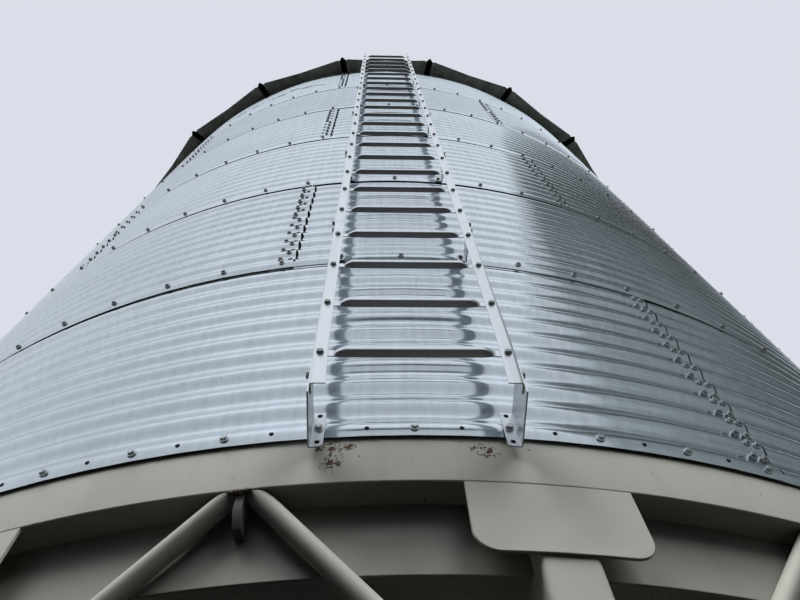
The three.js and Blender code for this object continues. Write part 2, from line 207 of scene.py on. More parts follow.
# Camera, from the rungs, seams and bolts in the photograph
CAMERA_PLACE = (-0.0972, -4.2121, 1.5955)
CAMERA_YAW = 4.58
CAMERA_PITCH = 63.677
CAMERA_ROLL = -3.792
CAMERA_FOCAL_PX = 668.07
PHOTO_WIDTH_PX = 800
SENSOR_WIDTH_MM = 36.0


def around(radius, bearing, height):
    """Points at a radius, bearing and height, with arrays of like shape allowed."""
    radius, bearing, height = np.broadcast_arrays(radius, bearing, height)
    return np.stack([radius * np.sin(bearing), -radius * np.cos(bearing), height], axis=-1)


class Bodies:
    """Points and faces of many closed bodies that become one mesh, each with a finish number."""

    def __init__(self):
        self.points = []
        self.faces = []
        self.finishes = []
        self.count = 0

    def add(self, body, finish=0):
        points, faces = body
        points = np.asarray(points, float).reshape(-1, 3)
        for block in faces:
            rows = (np.asarray(block) + self.count).tolist()
            self.faces.extend(rows)
            self.finishes.extend([finish] * len(rows))
        self.points.append(points)
        self.count += len(points)

    def mesh(self, name):
        made = bpy.data.meshes.new(name)
        made.from_pydata(np.concatenate(self.points).tolist(), [], self.faces)
        made.polygons.foreach_set("material_index", np.array(self.finishes, np.int32))
        return made


def in_scene(name, data):
    """A new object in the scene for a mesh, lamp or camera."""
    made = bpy.data.objects.new(name, data)
    bpy.context.scene.collection.objects.link(made)
    return made


def piece(name, bodies, materials, replaces=(), crease=40, outward=False):
    """Makes one object of the silo from bodies and seats it in the frame. Outward says that its faces
    need no turning."""
    mesh = bodies.mesh(name)
    if not outward:
        work = bmesh.new()
        work.from_mesh(mesh)
        bmesh.ops.recalc_face_normals(work, faces=work.faces)
        work.to_mesh(mesh)
        work.free()
    mesh.polygons.foreach_set("use_smooth", np.ones(len(mesh.polygons), bool))
    mesh.set_sharp_from_angle(angle=math.radians(crease))
    mesh.update()
    made = in_scene(name, mesh)
    for material in materials:
        mesh.materials.append(material)
    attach(made, "root")
    if replaces:
        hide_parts(*replaces)
    return made


def shell(outer, inner, wrap=False):
    """A thin closed body between two like grids of points, rows upwards and columns to the right."""
    rows, columns = outer.shape[:2]
    index = np.arange(rows * columns).reshape(rows, columns)
    if wrap:
        index = np.concatenate([index, index[:, :1]], axis=1)
    front = np.stack([index[:-1, :-1], index[:-1, 1:], index[1:, 1:], index[1:, :-1]], -1).reshape(-1, 4)
    under = rows * columns

    def rim(line):
        return np.stack([line[1:], line[:-1], line[:-1] + under, line[1:] + under], -1)

    faces = [front, front[:, ::-1] + under, rim(index[0]), rim(index[-1][::-1])]
    if not wrap:
        faces += [rim(index[::-1, 0]), rim(index[:, -1])]
    return np.concatenate([outer.reshape(-1, 3), inner.reshape(-1, 3)]), faces


def loft(sections, ends=True, wrap=False):
    """A closed body through like outlines of points, capped at both ends or joined end to end."""
    sections = np.asarray(sections, float)
    count, size = sections.shape[:2]
    index = np.arange(count * size).reshape(count, size)
    if wrap:
        index = np.concatenate([index, index[:1]])
    beside = np.roll(index, -1, axis=1)
    faces = [np.stack([index[:-1], beside[:-1], beside[1:], index[1:]], -1).reshape(-1, 4)]
    if ends and not wrap:
        faces += [index[:1, ::-1], index[-1:]]
    return sections.reshape(-1, 3), faces


def turned(outline, sides=RING_SIDES):
    """A ring about the silo's axis from a closed outline of (radius, height)."""
    radius, height = np.array(outline).T
    bearing = np.arange(sides)[:, None] * 2 * math.pi / sides
    return loft(around(radius[None], bearing, height[None]), wrap=True)


def prism(outline, low, high):
    """An outline of (x, y) raised from one height to another."""
    flat = np.array(outline, float)
    ends = [np.column_stack([flat, np.full(len(flat), z)]) for z in (low, high)]
    return loft(ends)


def swung(points, bearing):
    """Points turned about the silo's axis by a bearing."""
    c, s = math.cos(bearing), math.sin(bearing)
    turn = np.array([[c, s, 0], [-s, c, 0], [0, 0, 1]])
    return np.asarray(points).reshape(-1, 3) @ turn


def placed(body, origins, outward, turns):
    """Copies of one small body, its Z axis along each outward direction, turned about it."""
    points, faces = body
    origins = np.asarray(origins, float).reshape(-1, 3)
    z = np.asarray(outward, float).reshape(-1, 3)
    z = z / np.linalg.norm(z, axis=1, keepdims=True)
    x = np.cross([0.001, 0.0, 1.0], z)
    x /= np.linalg.norm(x, axis=1, keepdims=True)
    y = np.cross(z, x)
    c, s = np.cos(turns)[:, None], np.sin(turns)[:, None]
    x, y = c * x + s * y, c * y - s * x
    axes = np.stack([x, y, z], axis=1)
    out = origins[:, None] + np.einsum("pk,nkj->npj", points, axes)
    shift = (np.arange(len(origins)) * len(points))[:, None, None]
    return out, [(np.asarray(f)[None] + shift).reshape(-1, np.shape(f)[1]) for f in faces]


def stacked(rings):
    """A round body through rings of (radius, height), where a radius may vary round its ring."""
    angle = np.arange(BOLT_SIDES) * 2 * math.pi / BOLT_SIDES
    x, y = np.cos(angle), np.sin(angle)
    return loft([np.column_stack([r * x, r * y, np.full(BOLT_SIDES, z)]) for r, z in rings])


def hex_head(head_r, height, base=0.0):
    """A hexagon head alone, as (radius, height) rings: every other point is the middle of a flat."""
    hexagon = head_r * np.where(np.arange(BOLT_SIDES) % 2 == 0, 1.0, math.cos(math.pi / 6))
    return [(hexagon, base), (hexagon, 0.86 * height), (0.78 * head_r, height)]


def washer_rings(washer_r, thick, base=0.0):
    """A washer with a sloping edge, as (radius, height) rings."""
    return [(washer_r, base), (washer_r, 0.65 * thick), (0.88 * washer_r, thick)]


def hex_bolt(washer_r, head_r, height, washer=0.0025, base=0.0):
    """A hexagon head with a round washer, standing on its own origin or let in below it."""
    return stacked([*washer_rings(washer_r, washer, base), *hex_head(head_r, height, washer)])


def disc(radius, thick):
    """A flat round body, dark as painted shade where it stands for a hole."""
    angle = np.arange(BOLT_SIDES) * 2 * math.pi / BOLT_SIDES
    flat = np.column_stack([radius * np.cos(angle), radius * np.sin(angle)])
    return prism(flat, 0.0, thick)


def bead(path, radius, seed, rough=0.25):
    """A weld bead: an uneven half-round run of metal along a path of points."""
    draw = np.random.default_rng(seed)
    path = np.asarray(path, float)
    along = np.gradient(path, axis=0)
    along /= np.linalg.norm(along, axis=1, keepdims=True)
    side = np.cross(along, [0.13, 0.21, 0.97])
    side /= np.linalg.norm(side, axis=1, keepdims=True)
    up = np.cross(side, along)
    angle = np.arange(8) * math.pi / 4
    sizes = radius * (1 + rough * draw.uniform(-1, 1, len(path)))
    sizes[[0, -1]] *= 0.4
    ring = np.cos(angle)[None, :, None] * side[:, None] + np.sin(angle)[None, :, None] * up[:, None]
    return loft(path[:, None] + sizes[:, None, None] * ring)


def between(a, b, steps):
    """Points on a straight line."""
    t = np.linspace(0, 1, steps)[:, None]
    return np.asarray(a) * (1 - t) + np.asarray(b) * t


class Nodes:
    """A node tree under construction: small helpers that add one node each and give back its output."""

    def __init__(self, owner):
        owner.use_nodes = True
        self.tree = owner.node_tree
        self.tree.nodes.clear()

    def add(self, kind, sockets=None, **settings):
        made = self.tree.nodes.new(kind)
        for key, value in settings.items():
            setattr(made, key, value)
        for key, value in (sockets or {}).items():
            self.put(made.inputs[key], value)
        return made

    def put(self, socket, value):
        if isinstance(value, bpy.types.NodeSocket):
            self.tree.links.new(value, socket)
        else:
            socket.default_value = value

    def math(self, operation, a, b=0.0, clamp=False):
        return self.add("ShaderNodeMath", {0: a, 1: b}, operation=operation, use_clamp=clamp).outputs[0]

    def span(self, value, low, high, to_low=0.0, to_high=1.0):
        sockets = {"Value": value, "From Min": low, "From Max": high, "To Min": to_low, "To Max": to_high}
        return self.add("ShaderNodeMapRange", sockets).outputs[0]

    def parts(self, vector):
        return self.add("ShaderNodeSeparateXYZ", {0: vector}).outputs


class Finish(Nodes):
    """A material under construction."""

    def __init__(self, name, metallic=0.0, specular=0.5):
        self.material = bpy.data.materials.new(name)
        super().__init__(self.material)
        look = {"Metallic": metallic, "Specular IOR Level": specular}
        self.shader = self.add("ShaderNodeBsdfPrincipled", look)
        self.add("ShaderNodeOutputMaterial", {0: self.shader.outputs[0]})
        geometry = self.add("ShaderNodeNewGeometry")
        self.place = geometry.outputs["Position"]
        self.normal = geometry.outputs["True Normal"]

    def mix(self, factor, a, b):
        made = self.add("ShaderNodeMix", data_type="RGBA")
        for key, value in ((0, factor), (6, a), (7, b)):
            self.put(made.inputs[key], value)
        return made.outputs[2]

    def stretch(self, vector, sizes):
        return self.add("ShaderNodeVectorMath", {0: vector, 1: sizes}, operation="MULTIPLY").outputs[0]

    def noise(self, scale, detail=2.0, vector=None, rough=0.5):
        sockets = {"Vector": vector or self.place, "Scale": scale, "Detail": detail, "Roughness": rough}
        return self.add("ShaderNodeTexNoise", sockets).outputs["Fac"]

    def cells(self, scale, vector):
        return self.add("ShaderNodeTexVoronoi", {"Vector": vector, "Scale": scale})

    def bump(self, height, strength, distance, normal=None):
        sockets = {"Height": height, "Strength": strength, "Distance": distance}
        if normal is not None:
            sockets["Normal"] = normal
        return self.add("ShaderNodeBump", sockets).outputs[0]

    def unrolled(self):
        """The place on the wall as metres round it, 0 and metres up, for marks that follow the sheet."""
        x, y, z = self.parts(self.place)
        bearing = self.math("ARCTAN2", x, self.math("MULTIPLY", y, -1.0))
        arc = self.math("MULTIPLY", bearing, WALL_R)
        return self.add("ShaderNodeCombineXYZ", {0: arc, 1: 0.0, 2: z}).outputs[0], z

    def near(self, point, radius):
        """1 at a point, falling to 0 at a radius."""
        gap = self.add("ShaderNodeVectorMath", {0: self.place, 1: point}, operation="DISTANCE")
        return self.span(gap.outputs["Value"], radius, 0.0)

    def set(self, colour, roughness, normal):
        self.put(self.shader.inputs["Base Color"], colour)
        self.put(self.shader.inputs["Roughness"], roughness)
        if normal is not None:
            self.put(self.shader.inputs["Normal"], normal)
        return self.material


def shade(colour, factor):
    """A colour made brighter or darker by a factor."""
    return tuple(min(1.0, c * factor) for c in colour[:3]) + (1.0,)


def scuff(f, flat):
    """A thin dark mark that wanders across the top ring, left of the ladder."""
    arc, _, height = f.parts(flat)
    wander = f.span(f.noise(1.0, 4.0, f.stretch(flat, (2.4, 1.0, 0.0))), 0.3, 0.7, -0.16, 0.16)
    off = f.math("ABSOLUTE", f.math("SUBTRACT", height, f.math("ADD", wander, SCUFF_Z)))
    ends = f.math("MULTIPLY", f.span(arc, *SCUFF_LEFT), f.span(arc, *SCUFF_RIGHT))
    whole = f.math("MULTIPLY", f.span(off, 0.045, 0.022), ends)
    return f.math("MULTIPLY", whole, f.span(f.noise(13.0, 3.0, flat), 0.30, 0.44))


def galvanised(name, colour, roughness, spangle=75.0, dirt=0.25, wobble=1.0, shaded_under=False, rings=()):
    """Galvanised sheet: faint crystal spangle, scratches up and along, dull patches and light dirt. The
    faces that look down may be darkened as painted shade, and the wall's rings have a tint each."""
    f = Finish(name, metallic=1.0)
    flat, height = f.unrolled()
    crystal = f.cells(spangle, flat)
    grey = f.add("ShaderNodeRGBToBW", {0: crystal.outputs["Color"]}).outputs[0]
    cloud = f.noise(1.7, 4.0, flat)
    runs = f.noise(1.0, 3.0, f.stretch(flat, (34.0, 1.0, 1.3)))
    rolling = f.noise(1.0, 2.0, f.stretch(flat, (2.0, 1.0, 260.0)))
    tone = f.math("ADD", f.span(grey, 0.2, 0.8, -0.02, 0.02), f.span(cloud, 0.3, 0.7, -0.06, 0.06))
    tone = f.math("ADD", tone, f.span(runs, 0.35, 0.65, -0.05, 0.05))
    tone = f.span(tone, -0.15, 0.15)
    metal = f.mix(tone, shade(colour, 0.84), shade(colour, 1.1))
    if shaded_under:
        # Painted shade: faces that look down are darkened to a third
        metal = f.mix(f.span(f.parts(f.normal)[2], -0.85, -0.5), shade(colour, 0.32), metal)
    if rings:
        foot = SEAMS[0] - SEAM_LAP
        level = f.span(height, foot, foot + RING_COUNT * RING_HEIGHT, 0.0, RING_COUNT)
        for number, tint in enumerate(rings):
            inside = f.math("COMPARE", level, number + 0.5)
            inside.node.inputs[2].default_value = 0.5
            metal = f.mix(inside, metal, f.stretch(metal, tint))
        metal = f.mix(scuff(f, flat), metal, shade(colour, 0.3))
    specks = f.math("MULTIPLY", f.span(f.noise(46.0, 3.0, flat), 0.66, 0.74), dirt)
    metal = f.mix(specks, metal, (0.09, 0.085, 0.075, 1.0))
    rough = f.math("ADD", f.span(grey, 0.0, 1.0, roughness - 0.012, roughness + 0.012),
                   f.span(cloud, 0.3, 0.7, -0.02, 0.04))
    wave = f.noise(1.0, 1.5, f.stretch(flat, (3.2, 1.0, 9.0)))
    normal = f.bump(wave, 0.25 * wobble, 0.004)
    normal = f.bump(rolling, 0.06, 0.0006, normal)
    return f.set(metal, rough, normal)


def roof_zinc(colour, under):
    """Dull zinc above; on the faces that look down, a warm olive brown of painted reflection from the
    ground, mottled by stains.
    """
    f = Finish("roof_zinc", metallic=0.35, specular=0.3)
    cloud = f.noise(2.1, 4.0)
    grain = f.noise(60.0, 2.0)
    stain = f.noise(1.0, 4.0, f.stretch(f.place, (9.0, 9.0, 3.0)))
    above = f.mix(f.span(cloud, 0.3, 0.7), shade(colour, 0.8), shade(colour, 1.1))
    # Painted reflection: faces that look down take a warm olive brown for the ground's light, mottled by
    # stains
    ground_reflection_and_stain = f.mix(f.span(stain, 0.35, 0.65), shade(under, 0.75), shade(under, 1.25))
    sheet = f.mix(f.span(f.parts(f.normal)[2], -0.3, 0.1), ground_reflection_and_stain, above)
    return f.set(sheet, f.span(grain, 0.2, 0.8, 0.42, 0.55), f.bump(cloud, 0.15, 0.004))


def bolt_zinc(name, dark, light):
    """Zinc of bolts and washers, mottled between two greys."""
    f = Finish(name, metallic=1.0)
    tone = f.noise(220.0, 2.0)
    metal = f.mix(f.span(tone, 0.35, 0.65), dark, light)
    return f.set(metal, f.span(tone, 0.3, 0.7, 0.22, 0.36), f.bump(tone, 0.2, 0.0004))


def dark_gap():
    """Near black, for sealant that partly stands in for the laps' shadow, and for painted shade in the ribs'
    open ends and in empty holes.
    """
    f = Finish("dark_gap", specular=0.2)
    tone = f.noise(90.0, 2.0)
    return f.set(f.mix(tone, (0.004, 0.004, 0.004, 1.0), (0.012, 0.011, 0.01, 1.0)), 0.8, None)


# Places on the hopper ring where the paint is damaged: bearing in degrees, metres below the lowest bolts,
# and how far the damage spreads
RUST_PATCHES = ((-4.2, 0.05, 0.05), (-3.6, 0.054, 0.07), (-2.95, 0.058, 0.05),
                (-3.6, 0.11, 0.075), (2.7, 0.062, 0.04), (3.2, 0.075, 0.06))


def painted_steel(name, colour, rust_colour):
    """Beige grey paint with faint runs and small chips, darkened as painted shade on faces that look down,
    with rust by the ladder's feet.
    """
    f = Finish(name, specular=0.45)
    cloud = f.noise(2.6, 4.0)
    fine = f.noise(160.0, 2.0)
    paint = f.mix(f.span(cloud, 0.3, 0.7), shade(colour, 0.93), shade(colour, 1.06))
    grime = f.span(f.noise(1.0, 4.0, f.stretch(f.place, (16.0, 16.0, 2.2))), 0.55, 0.8, 0.0, 0.25)
    paint = f.mix(grime, paint, shade(colour, 0.62))
    # Painted shade: faces that look straight down are darkened to about half
    under = f.stretch(paint, (0.47, 0.44, 0.41))
    paint = f.mix(f.span(f.parts(f.normal)[2], -0.95, -0.7), under, paint)
    chips = f.span(f.noise(38.0, 4.0, None, 0.62), 0.715, 0.73)
    damage = 0.0
    for bearing, drop, spread in RUST_PATCHES:
        point = around(BAND_R, math.radians(bearing), SEAMS[0] - drop)
        damage = f.math("MAXIMUM", damage, f.near(tuple(point), spread))
    scatter = f.noise(95.0, 5.0, None, 0.7)
    edge = f.math("SUBTRACT", 0.78, f.math("MULTIPLY", damage, 0.37))
    bite = f.math("MULTIPLY", f.math("SUBTRACT", scatter, edge), 22.0, True)
    rust = f.mix(f.noise(210.0, 3.0), rust_colour, shade(rust_colour, 0.3))
    paint = f.mix(bite, paint, rust)
    paint = f.mix(chips, paint, (0.06, 0.055, 0.05, 1.0))
    normal = f.bump(fine, 0.08, 0.0008)
    normal = f.bump(cloud, 0.12, 0.003, normal)
    return f.set(paint, f.span(cloud, 0.3, 0.7, 0.4, 0.52), normal)


def rusty_weld(colour, rust_colour):
    """Rough weld metal, half paint and half rust."""
    f = Finish("rusty_weld", specular=0.3)
    tone = f.noise(85.0, 4.0)
    return f.set(f.mix(f.span(tone, 0.42, 0.58), colour, rust_colour), 0.75, f.bump(tone, 0.5, 0.002))


RGBA = {"size": 4, "min": 0, "max": 1}


class SiloWallSettings(bpy.types.PropertyGroup):
    sheet: FloatProperty(name="Sheet", description="Thickness of the wall sheet", default=0.001,
                         min=0.0006, max=0.003, unit="LENGTH", precision=4)
    washer: FloatProperty(name="Washer", description="Radius of a wall bolt's washer", default=0.0125,
                          unit="LENGTH", precision=4)
    head: FloatProperty(name="Bolt head", description="Radius of a wall bolt's head over its corners",
                        default=0.0090, unit="LENGTH", precision=4)
    colour: FloatVectorProperty(name="Zinc", description="Colour of the galvanised wall", subtype="COLOR",
                                default=(0.673, 0.728, 0.772, 1.0), **RGBA)
    roughness: FloatProperty(name="Roughness", description="How dull the wall's zinc is", default=0.14,
                             min=0, max=1)


class SiloRoofSettings(bpy.types.PropertyGroup):
    sheet: FloatProperty(name="Sheet", description="Thickness of the roof sheet", default=0.0015,
                         unit="LENGTH", precision=4)
    rib_half: FloatProperty(name="Rib half width", description="Half the width of a rib at its base",
                            default=0.034, unit="LENGTH", precision=3)
    rib_rise: FloatProperty(name="Rib rise", description="Height of a rib over its panel", default=0.036,
                            unit="LENGTH", precision=3)
    colour: FloatVectorProperty(name="Zinc", description="Colour of the dull roof sheet", subtype="COLOR",
                                default=(0.5, 0.51, 0.5, 1.0), **RGBA)
    # The underside colour is painted light: a warm olive brown that stands in for the ground's reflection
    under: FloatVectorProperty(name="Underside", description="Colour of the stained underside",
                               subtype="COLOR", default=(0.60, 0.58, 0.48, 1.0), **RGBA)


class SiloLadderSettings(bpy.types.PropertyGroup):
    rung_strip: FloatProperty(name="Rung strip", description="Thickness of a rung's sheet", default=0.0025,
                              unit="LENGTH", precision=4)
    rung_press: FloatProperty(name="Rung depth", description="How far a rung's middle is pressed out",
                              default=0.018, unit="LENGTH", precision=3)
    colour: FloatVectorProperty(name="Zinc", description="Colour of the bright ladder sheet",
                                subtype="COLOR", default=(0.78, 0.80, 0.83, 1.0), **RGBA)


class SiloHopperSettings(bpy.types.PropertyGroup):
    colour: FloatVectorProperty(name="Paint", description="Colour of the hopper's paint", subtype="COLOR",
                                default=(0.515, 0.53, 0.47, 1.0), **RGBA)
    rust: FloatVectorProperty(name="Rust", description="Colour of bare rusty steel", subtype="COLOR",
                              default=(0.14, 0.058, 0.02, 1.0), **RGBA)
    tube_round: FloatProperty(name="Tube corner", description="Corner radius of a leg's square tube",
                              default=0.012, unit="LENGTH", precision=3)


class SiloStageSettings(bpy.types.PropertyGroup):
    sky: FloatProperty(name="Sky", description="Brightness of the soft light from above",
                       default=1.0, min=0)
    lamps: FloatProperty(name="Lamps", description="Brightness of the two soft lamps", default=1.0, min=0)
    card_distance: FloatProperty(name="Card distance", unit="LENGTH", default=7.7,
                                 description="From the silo's axis to the axis of the dark card")
    card_radius: FloatProperty(name="Card radius", description="How the dark card is rolled",
                               default=3.19, unit="LENGTH")
    card_foot: FloatProperty(name="Card foot", description="Height of the dark card's lower edge",
                             default=2.6, unit="LENGTH")
    floor_radius: FloatProperty(name="Floor", description="Radius of the pale floor", default=30.0,
                                unit="LENGTH")
    floor_colour: FloatVectorProperty(name="Floor colour", description="Colour of the floor",
                                      subtype="COLOR", default=(0.34, 0.34, 0.335, 1.0), **RGBA)


def wave_phase(t):
    """Angle in the corrugation, 0 on a crest, at t above a row of bolts."""
    return (t - CREST_RISE) * 2 * math.pi / WAVE


def sheet_radius(t, share, ring):
    """Outer face of a wall sheet, t above its row of bolts and a share of the way across it."""
    depth = np.where(t < CREST_RISE, MARGIN_DEPTH[ring], 1.0)
    wave = AMPLITUDE * (1 - depth * (1 - np.cos(wave_phase(t))))
    up = UP_LAP if ring else 0.0
    return WALL_R + wave + up * (1 - np.clip(t / RING_HEIGHT, 0, 1)) + SIDE_LAP * share


def first_pitch(ring):
    """Pitch of a ring's first vertical seam."""
    return FIRST_SHEET[ring % 2]


def wall_sheets(ring, sheet):
    """Seven corrugated sheets of one ring, each lapped over the sheet to its right and the ring below."""
    bodies = Bodies()
    steps = np.arange(0, WAVES_A_RING * WAVE_STEPS + 1) * WAVE / WAVE_STEPS
    lap = SEAM_LAP if ring else LOWEST_LAP
    margin = np.array([1.0, 0.67, 0.33])
    t = np.concatenate([-lap * margin, steps, RING_HEIGHT + SEAM_LAP * margin[::-1]])
    halves = np.arange(0, PITCHES_A_SHEET + 0.1, 0.5)
    places = np.concatenate([[-SIDE_REACH], halves, [PITCHES_A_SHEET + SIDE_REACH]])
    share = places / PITCHES_A_SHEET
    for number in range(SHEETS_ROUND):
        bearing = (first_pitch(ring) + number * PITCHES_A_SHEET + places) * PITCH
        radius = sheet_radius(t[:, None], share[None], ring)
        height = np.broadcast_to((SEAMS[ring] + t)[:, None], radius.shape)
        outer = around(radius, bearing[None], height)
        inner = around(radius - sheet, bearing[None], height)
        bodies.add(shell(outer, inner))
    return bodies


def lap_seals_and_shadow(ring):
    """Black sealant pressed out along the free edge of each sheet, uneven in width; above the lowest ring
    its width follows the waves, so that it also stands in for the shadow of the lap's gap.
    """
    draw = np.random.default_rng(500 + ring)
    t = np.linspace(0.002, RING_HEIGHT - SEAM_LAP, 12 * WAVES_A_RING)
    bodies = Bodies()
    for number in range(SHEETS_ROUND):
        start = first_pitch(ring) + number * PITCHES_A_SHEET
        ragged = np.convolve(draw.uniform(0.4, 1.5, len(t) + 4), np.ones(5) / 5, "valid")
        flank = np.clip(0.55 - 0.65 * np.sin(wave_phase(t)), 0.12, 1.2) if ring else 1.0
        shown = SEAL_WIDTH[ring] * ragged * flank
        width = np.column_stack([np.full(len(t), -SEAL_UNDER), np.zeros(len(t)), shown])
        bearing = (start + SIDE_REACH) * PITCH + width / WALL_R
        radius = sheet_radius(t, 0.0, ring)[:, None] + np.array(SEAL_RISE)
        height = np.broadcast_to((SEAMS[ring] + t)[:, None], radius.shape)
        bodies.add(shell(around(radius, bearing, height), around(radius - SEAL_THICK, bearing, height)))
    return bodies


def seam_bolts(ring):
    """Places of a vertical seam's bolts: pitches right of the seam, and waves above the lowest crest."""
    places = []
    for wave in range(WAVES_A_RING):
        upper = wave > WAVES_A_RING // 2
        if ring == 0:
            places += [(-0.015, wave), (0.115, wave), (-0.02, wave + 0.55)]
            if not 4 <= wave <= 8:
                places.append((0.13, wave + 0.55))  # only near the ends of the seam
        else:
            places.append((-0.05, wave - 0.15) if upper else (0.072, wave - 0.08))
            places.append((0.072, wave + 0.45) if upper else (-0.063, wave + 0.48))
    return places


def wall_bolts(ring, settings):
    """Bolts of one ring: the row at its foot and the columns of its seven vertical seams."""
    draw = np.random.default_rng(100 + ring)
    origins, outward = [], []

    def seat(pitch, t, share):
        bearing = pitch * PITCH
        rise = VALLEY_RISE * (1 - math.cos(wave_phase(t))) / 2
        radius = float(sheet_radius(np.array(t), share, ring)) + rise
        origins.append(around(radius, bearing, SEAMS[ring] + t))
        outward.append(around(1.0, bearing, 0.0))

    for number in range(PITCHES_ROUND):
        if ring == 0 and number in (1, PITCHES_ROUND - 1):
            continue  # the ladder's feet have bolts of their own here
        seat(number, 0.0, ((number - first_pitch(ring)) % PITCHES_A_SHEET) / PITCHES_A_SHEET)
    for number in range(SHEETS_ROUND):
        pitch = first_pitch(ring) + number * PITCHES_A_SHEET
        for aside, waves in seam_bolts(ring):
            t = CREST_RISE + waves * WAVE
            if SEAM_LAP < t < RING_HEIGHT - SEAM_LAP - 0.01:
                seat(pitch + aside, t, 1.0)
    turns = draw.uniform(0, math.pi / 3, len(origins))
    bodies = Bodies()
    if ring == 0:
        bolt = hex_bolt(settings.washer, settings.head, BOLT_HEIGHT, base=-VALLEY_RISE)
        bodies.add(placed(bolt, origins, outward, turns))
    else:
        # Heads take the darker zinc as painted shade of heads seen from below; washers stay bright
        head = stacked(hex_head(0.93 * settings.head, BOLT_HEIGHT, -VALLEY_RISE))
        washer = stacked(washer_rings(settings.washer, 0.0027, -VALLEY_RISE))
        bodies.add(placed(head, origins, outward, turns))
        bodies.add(placed(washer, origins, outward, turns), 1)
    return bodies


def spare_holes():
    """Empty holes midway between the bolts of the lowest row."""
    pitches = np.arange(PITCHES_ROUND) + 0.5
    bearing = pitches * PITCH
    share = ((pitches - first_pitch(0)) % PITCHES_A_SHEET) / PITCHES_A_SHEET
    origins = around(sheet_radius(np.zeros(PITCHES_ROUND), share, 0) - 0.0002, bearing, SEAMS[0])
    bodies = Bodies()
    bodies.add(placed(disc(*SPARE_DISC), origins, around(1.0, bearing, 0.0), np.zeros(PITCHES_ROUND)))
    return bodies


def roof_height(radius):
    """Height of the roof's underside at a radius, between the ribs."""
    return WALL_TOP + CLEAR + (ROOF_FOOT_R - radius) * ROOF_RUN


def roof_sheets(settings):
    """Panels with a folded rib over each joint and a small bead beside it, straight at the eave."""
    half, rise = settings.rib_half, settings.rib_rise
    shoulder = (RIB_SHOULDER[0] * half, RIB_SHOULDER[1] * rise)
    small_bead = [(half + 0.012, 0.0), (half + 0.03, 0.008), (half + 0.05, 0.0)]
    folds = [(0.0, rise), shoulder, (half, 0.0), *small_bead]
    folds = [(-x, h) for x, h in reversed(folds[1:])] + folds
    rows = np.linspace(0, 1, 9)
    columns = []
    for number in range(ROOF_RIBS):
        rib = (number + 0.5) * ROOF_SECTOR
        for aside, lift in folds:
            end = EAVE_R + (RIB_TIP_R - EAVE_R) * (lift / rise if abs(aside) < half else 0.0)
            radius = FILL_R + (end - FILL_R) * rows
            squeeze = np.minimum(1.0, radius * ROOF_SECTOR / 2 / (half + 0.06))
            across = aside * squeeze
            columns.append((np.hypot(radius, across), rib + np.arctan2(across, radius), lift * squeeze))
        middle = np.full(len(rows), (number + 1) * ROOF_SECTOR)
        columns.append((FILL_R + (EAVE_MID_R - FILL_R) * rows, middle, 0 * rows))
    radius, bearing, lift = (np.stack([c[i] for c in columns], axis=1) for i in range(3))

    def raised(by):
        out = radius + (lift + by) * math.sin(ROOF_SLOPE)
        return around(out, bearing, roof_height(radius) + (lift + by) * math.cos(ROOF_SLOPE))[::-1]

    bodies = Bodies()
    bodies.add(shell(raised(settings.sheet), raised(0.0), wrap=True))
    return bodies


def rib_shade_fills(settings):
    """A dark fill in each rib over the wall, painted shade for the rib's open hollow, set back a little from
    the rib's slanting end.
    """
    half, rise = settings.rib_half - 0.001, settings.rib_rise - 0.0015
    aside, up = RIB_SHOULDER[0] * half, RIB_SHOULDER[1] * rise
    across, lift = np.array([(-half, 0.0), (half, 0.0), (aside, up), (0.0, rise), (-aside, up)]).T
    reach = (RIB_TIP_R - EAVE_R) * lift / rise
    bodies = Bodies()
    for number in range(ROOF_RIBS):
        bearing = (number + 0.5) * ROOF_SECTOR
        sections = []
        for radius in (WALL_R - 0.02 + 0 * reach, EAVE_R - 0.004 + reach):
            out = radius + lift * math.sin(ROOF_SLOPE)
            height = roof_height(radius) + lift * math.cos(ROOF_SLOPE)
            sections.append(around(np.hypot(out, across), bearing + np.arctan2(across, out), height))
        bodies.add(loft(sections))
    return bodies


def roof_top():
    """Fill collar with a rolled lip, and the lid over it with a shallow dome, skirt and knob."""
    collar_low, collar_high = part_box("roof_collar")
    lid_low, lid_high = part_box("roof_lid")
    collar = Bodies()
    outer, plate, lip = FILL_R - CLEAR, 0.003, 0.009
    low, high = collar_low.z, collar_high.z
    collar.add(turned([(outer - plate, low), (outer, low), (outer, high), (outer - lip, high),
                       (outer - lip, high - plate), (outer - plate, high - plate)], ROUND_SIDES))
    seat = high + CLEAR
    lid = Bodies()
    rim = lid_high.x
    knob, top = 0.06, lid_high.z
    dome = [(rim, seat + 0.006), (0.24, seat + 0.040), (0.14, seat + 0.075), (knob, seat + 0.095)]
    under = [(0.004, seat + 0.09), (0.14, seat + 0.071), (0.24, seat + 0.036), (rim - 0.005, seat + 0.003)]
    lid.add(turned([(rim - 0.004, lid_low.z), (rim, lid_low.z), *dome, (knob, top - 0.006),
                    (knob - 0.006, top), (0.004, top), *under], ROUND_SIDES))
    half, near, far = 0.012, -rim + 0.03, -rim + 0.002
    flat = [(-half, far), (half, far), (half, near), (-half, near)]
    points, faces = prism(flat, lid_low.z, seat + 0.012)
    for number in range(6):
        lid.add((swung(points, number * math.pi / 3), faces))
    return collar, lid


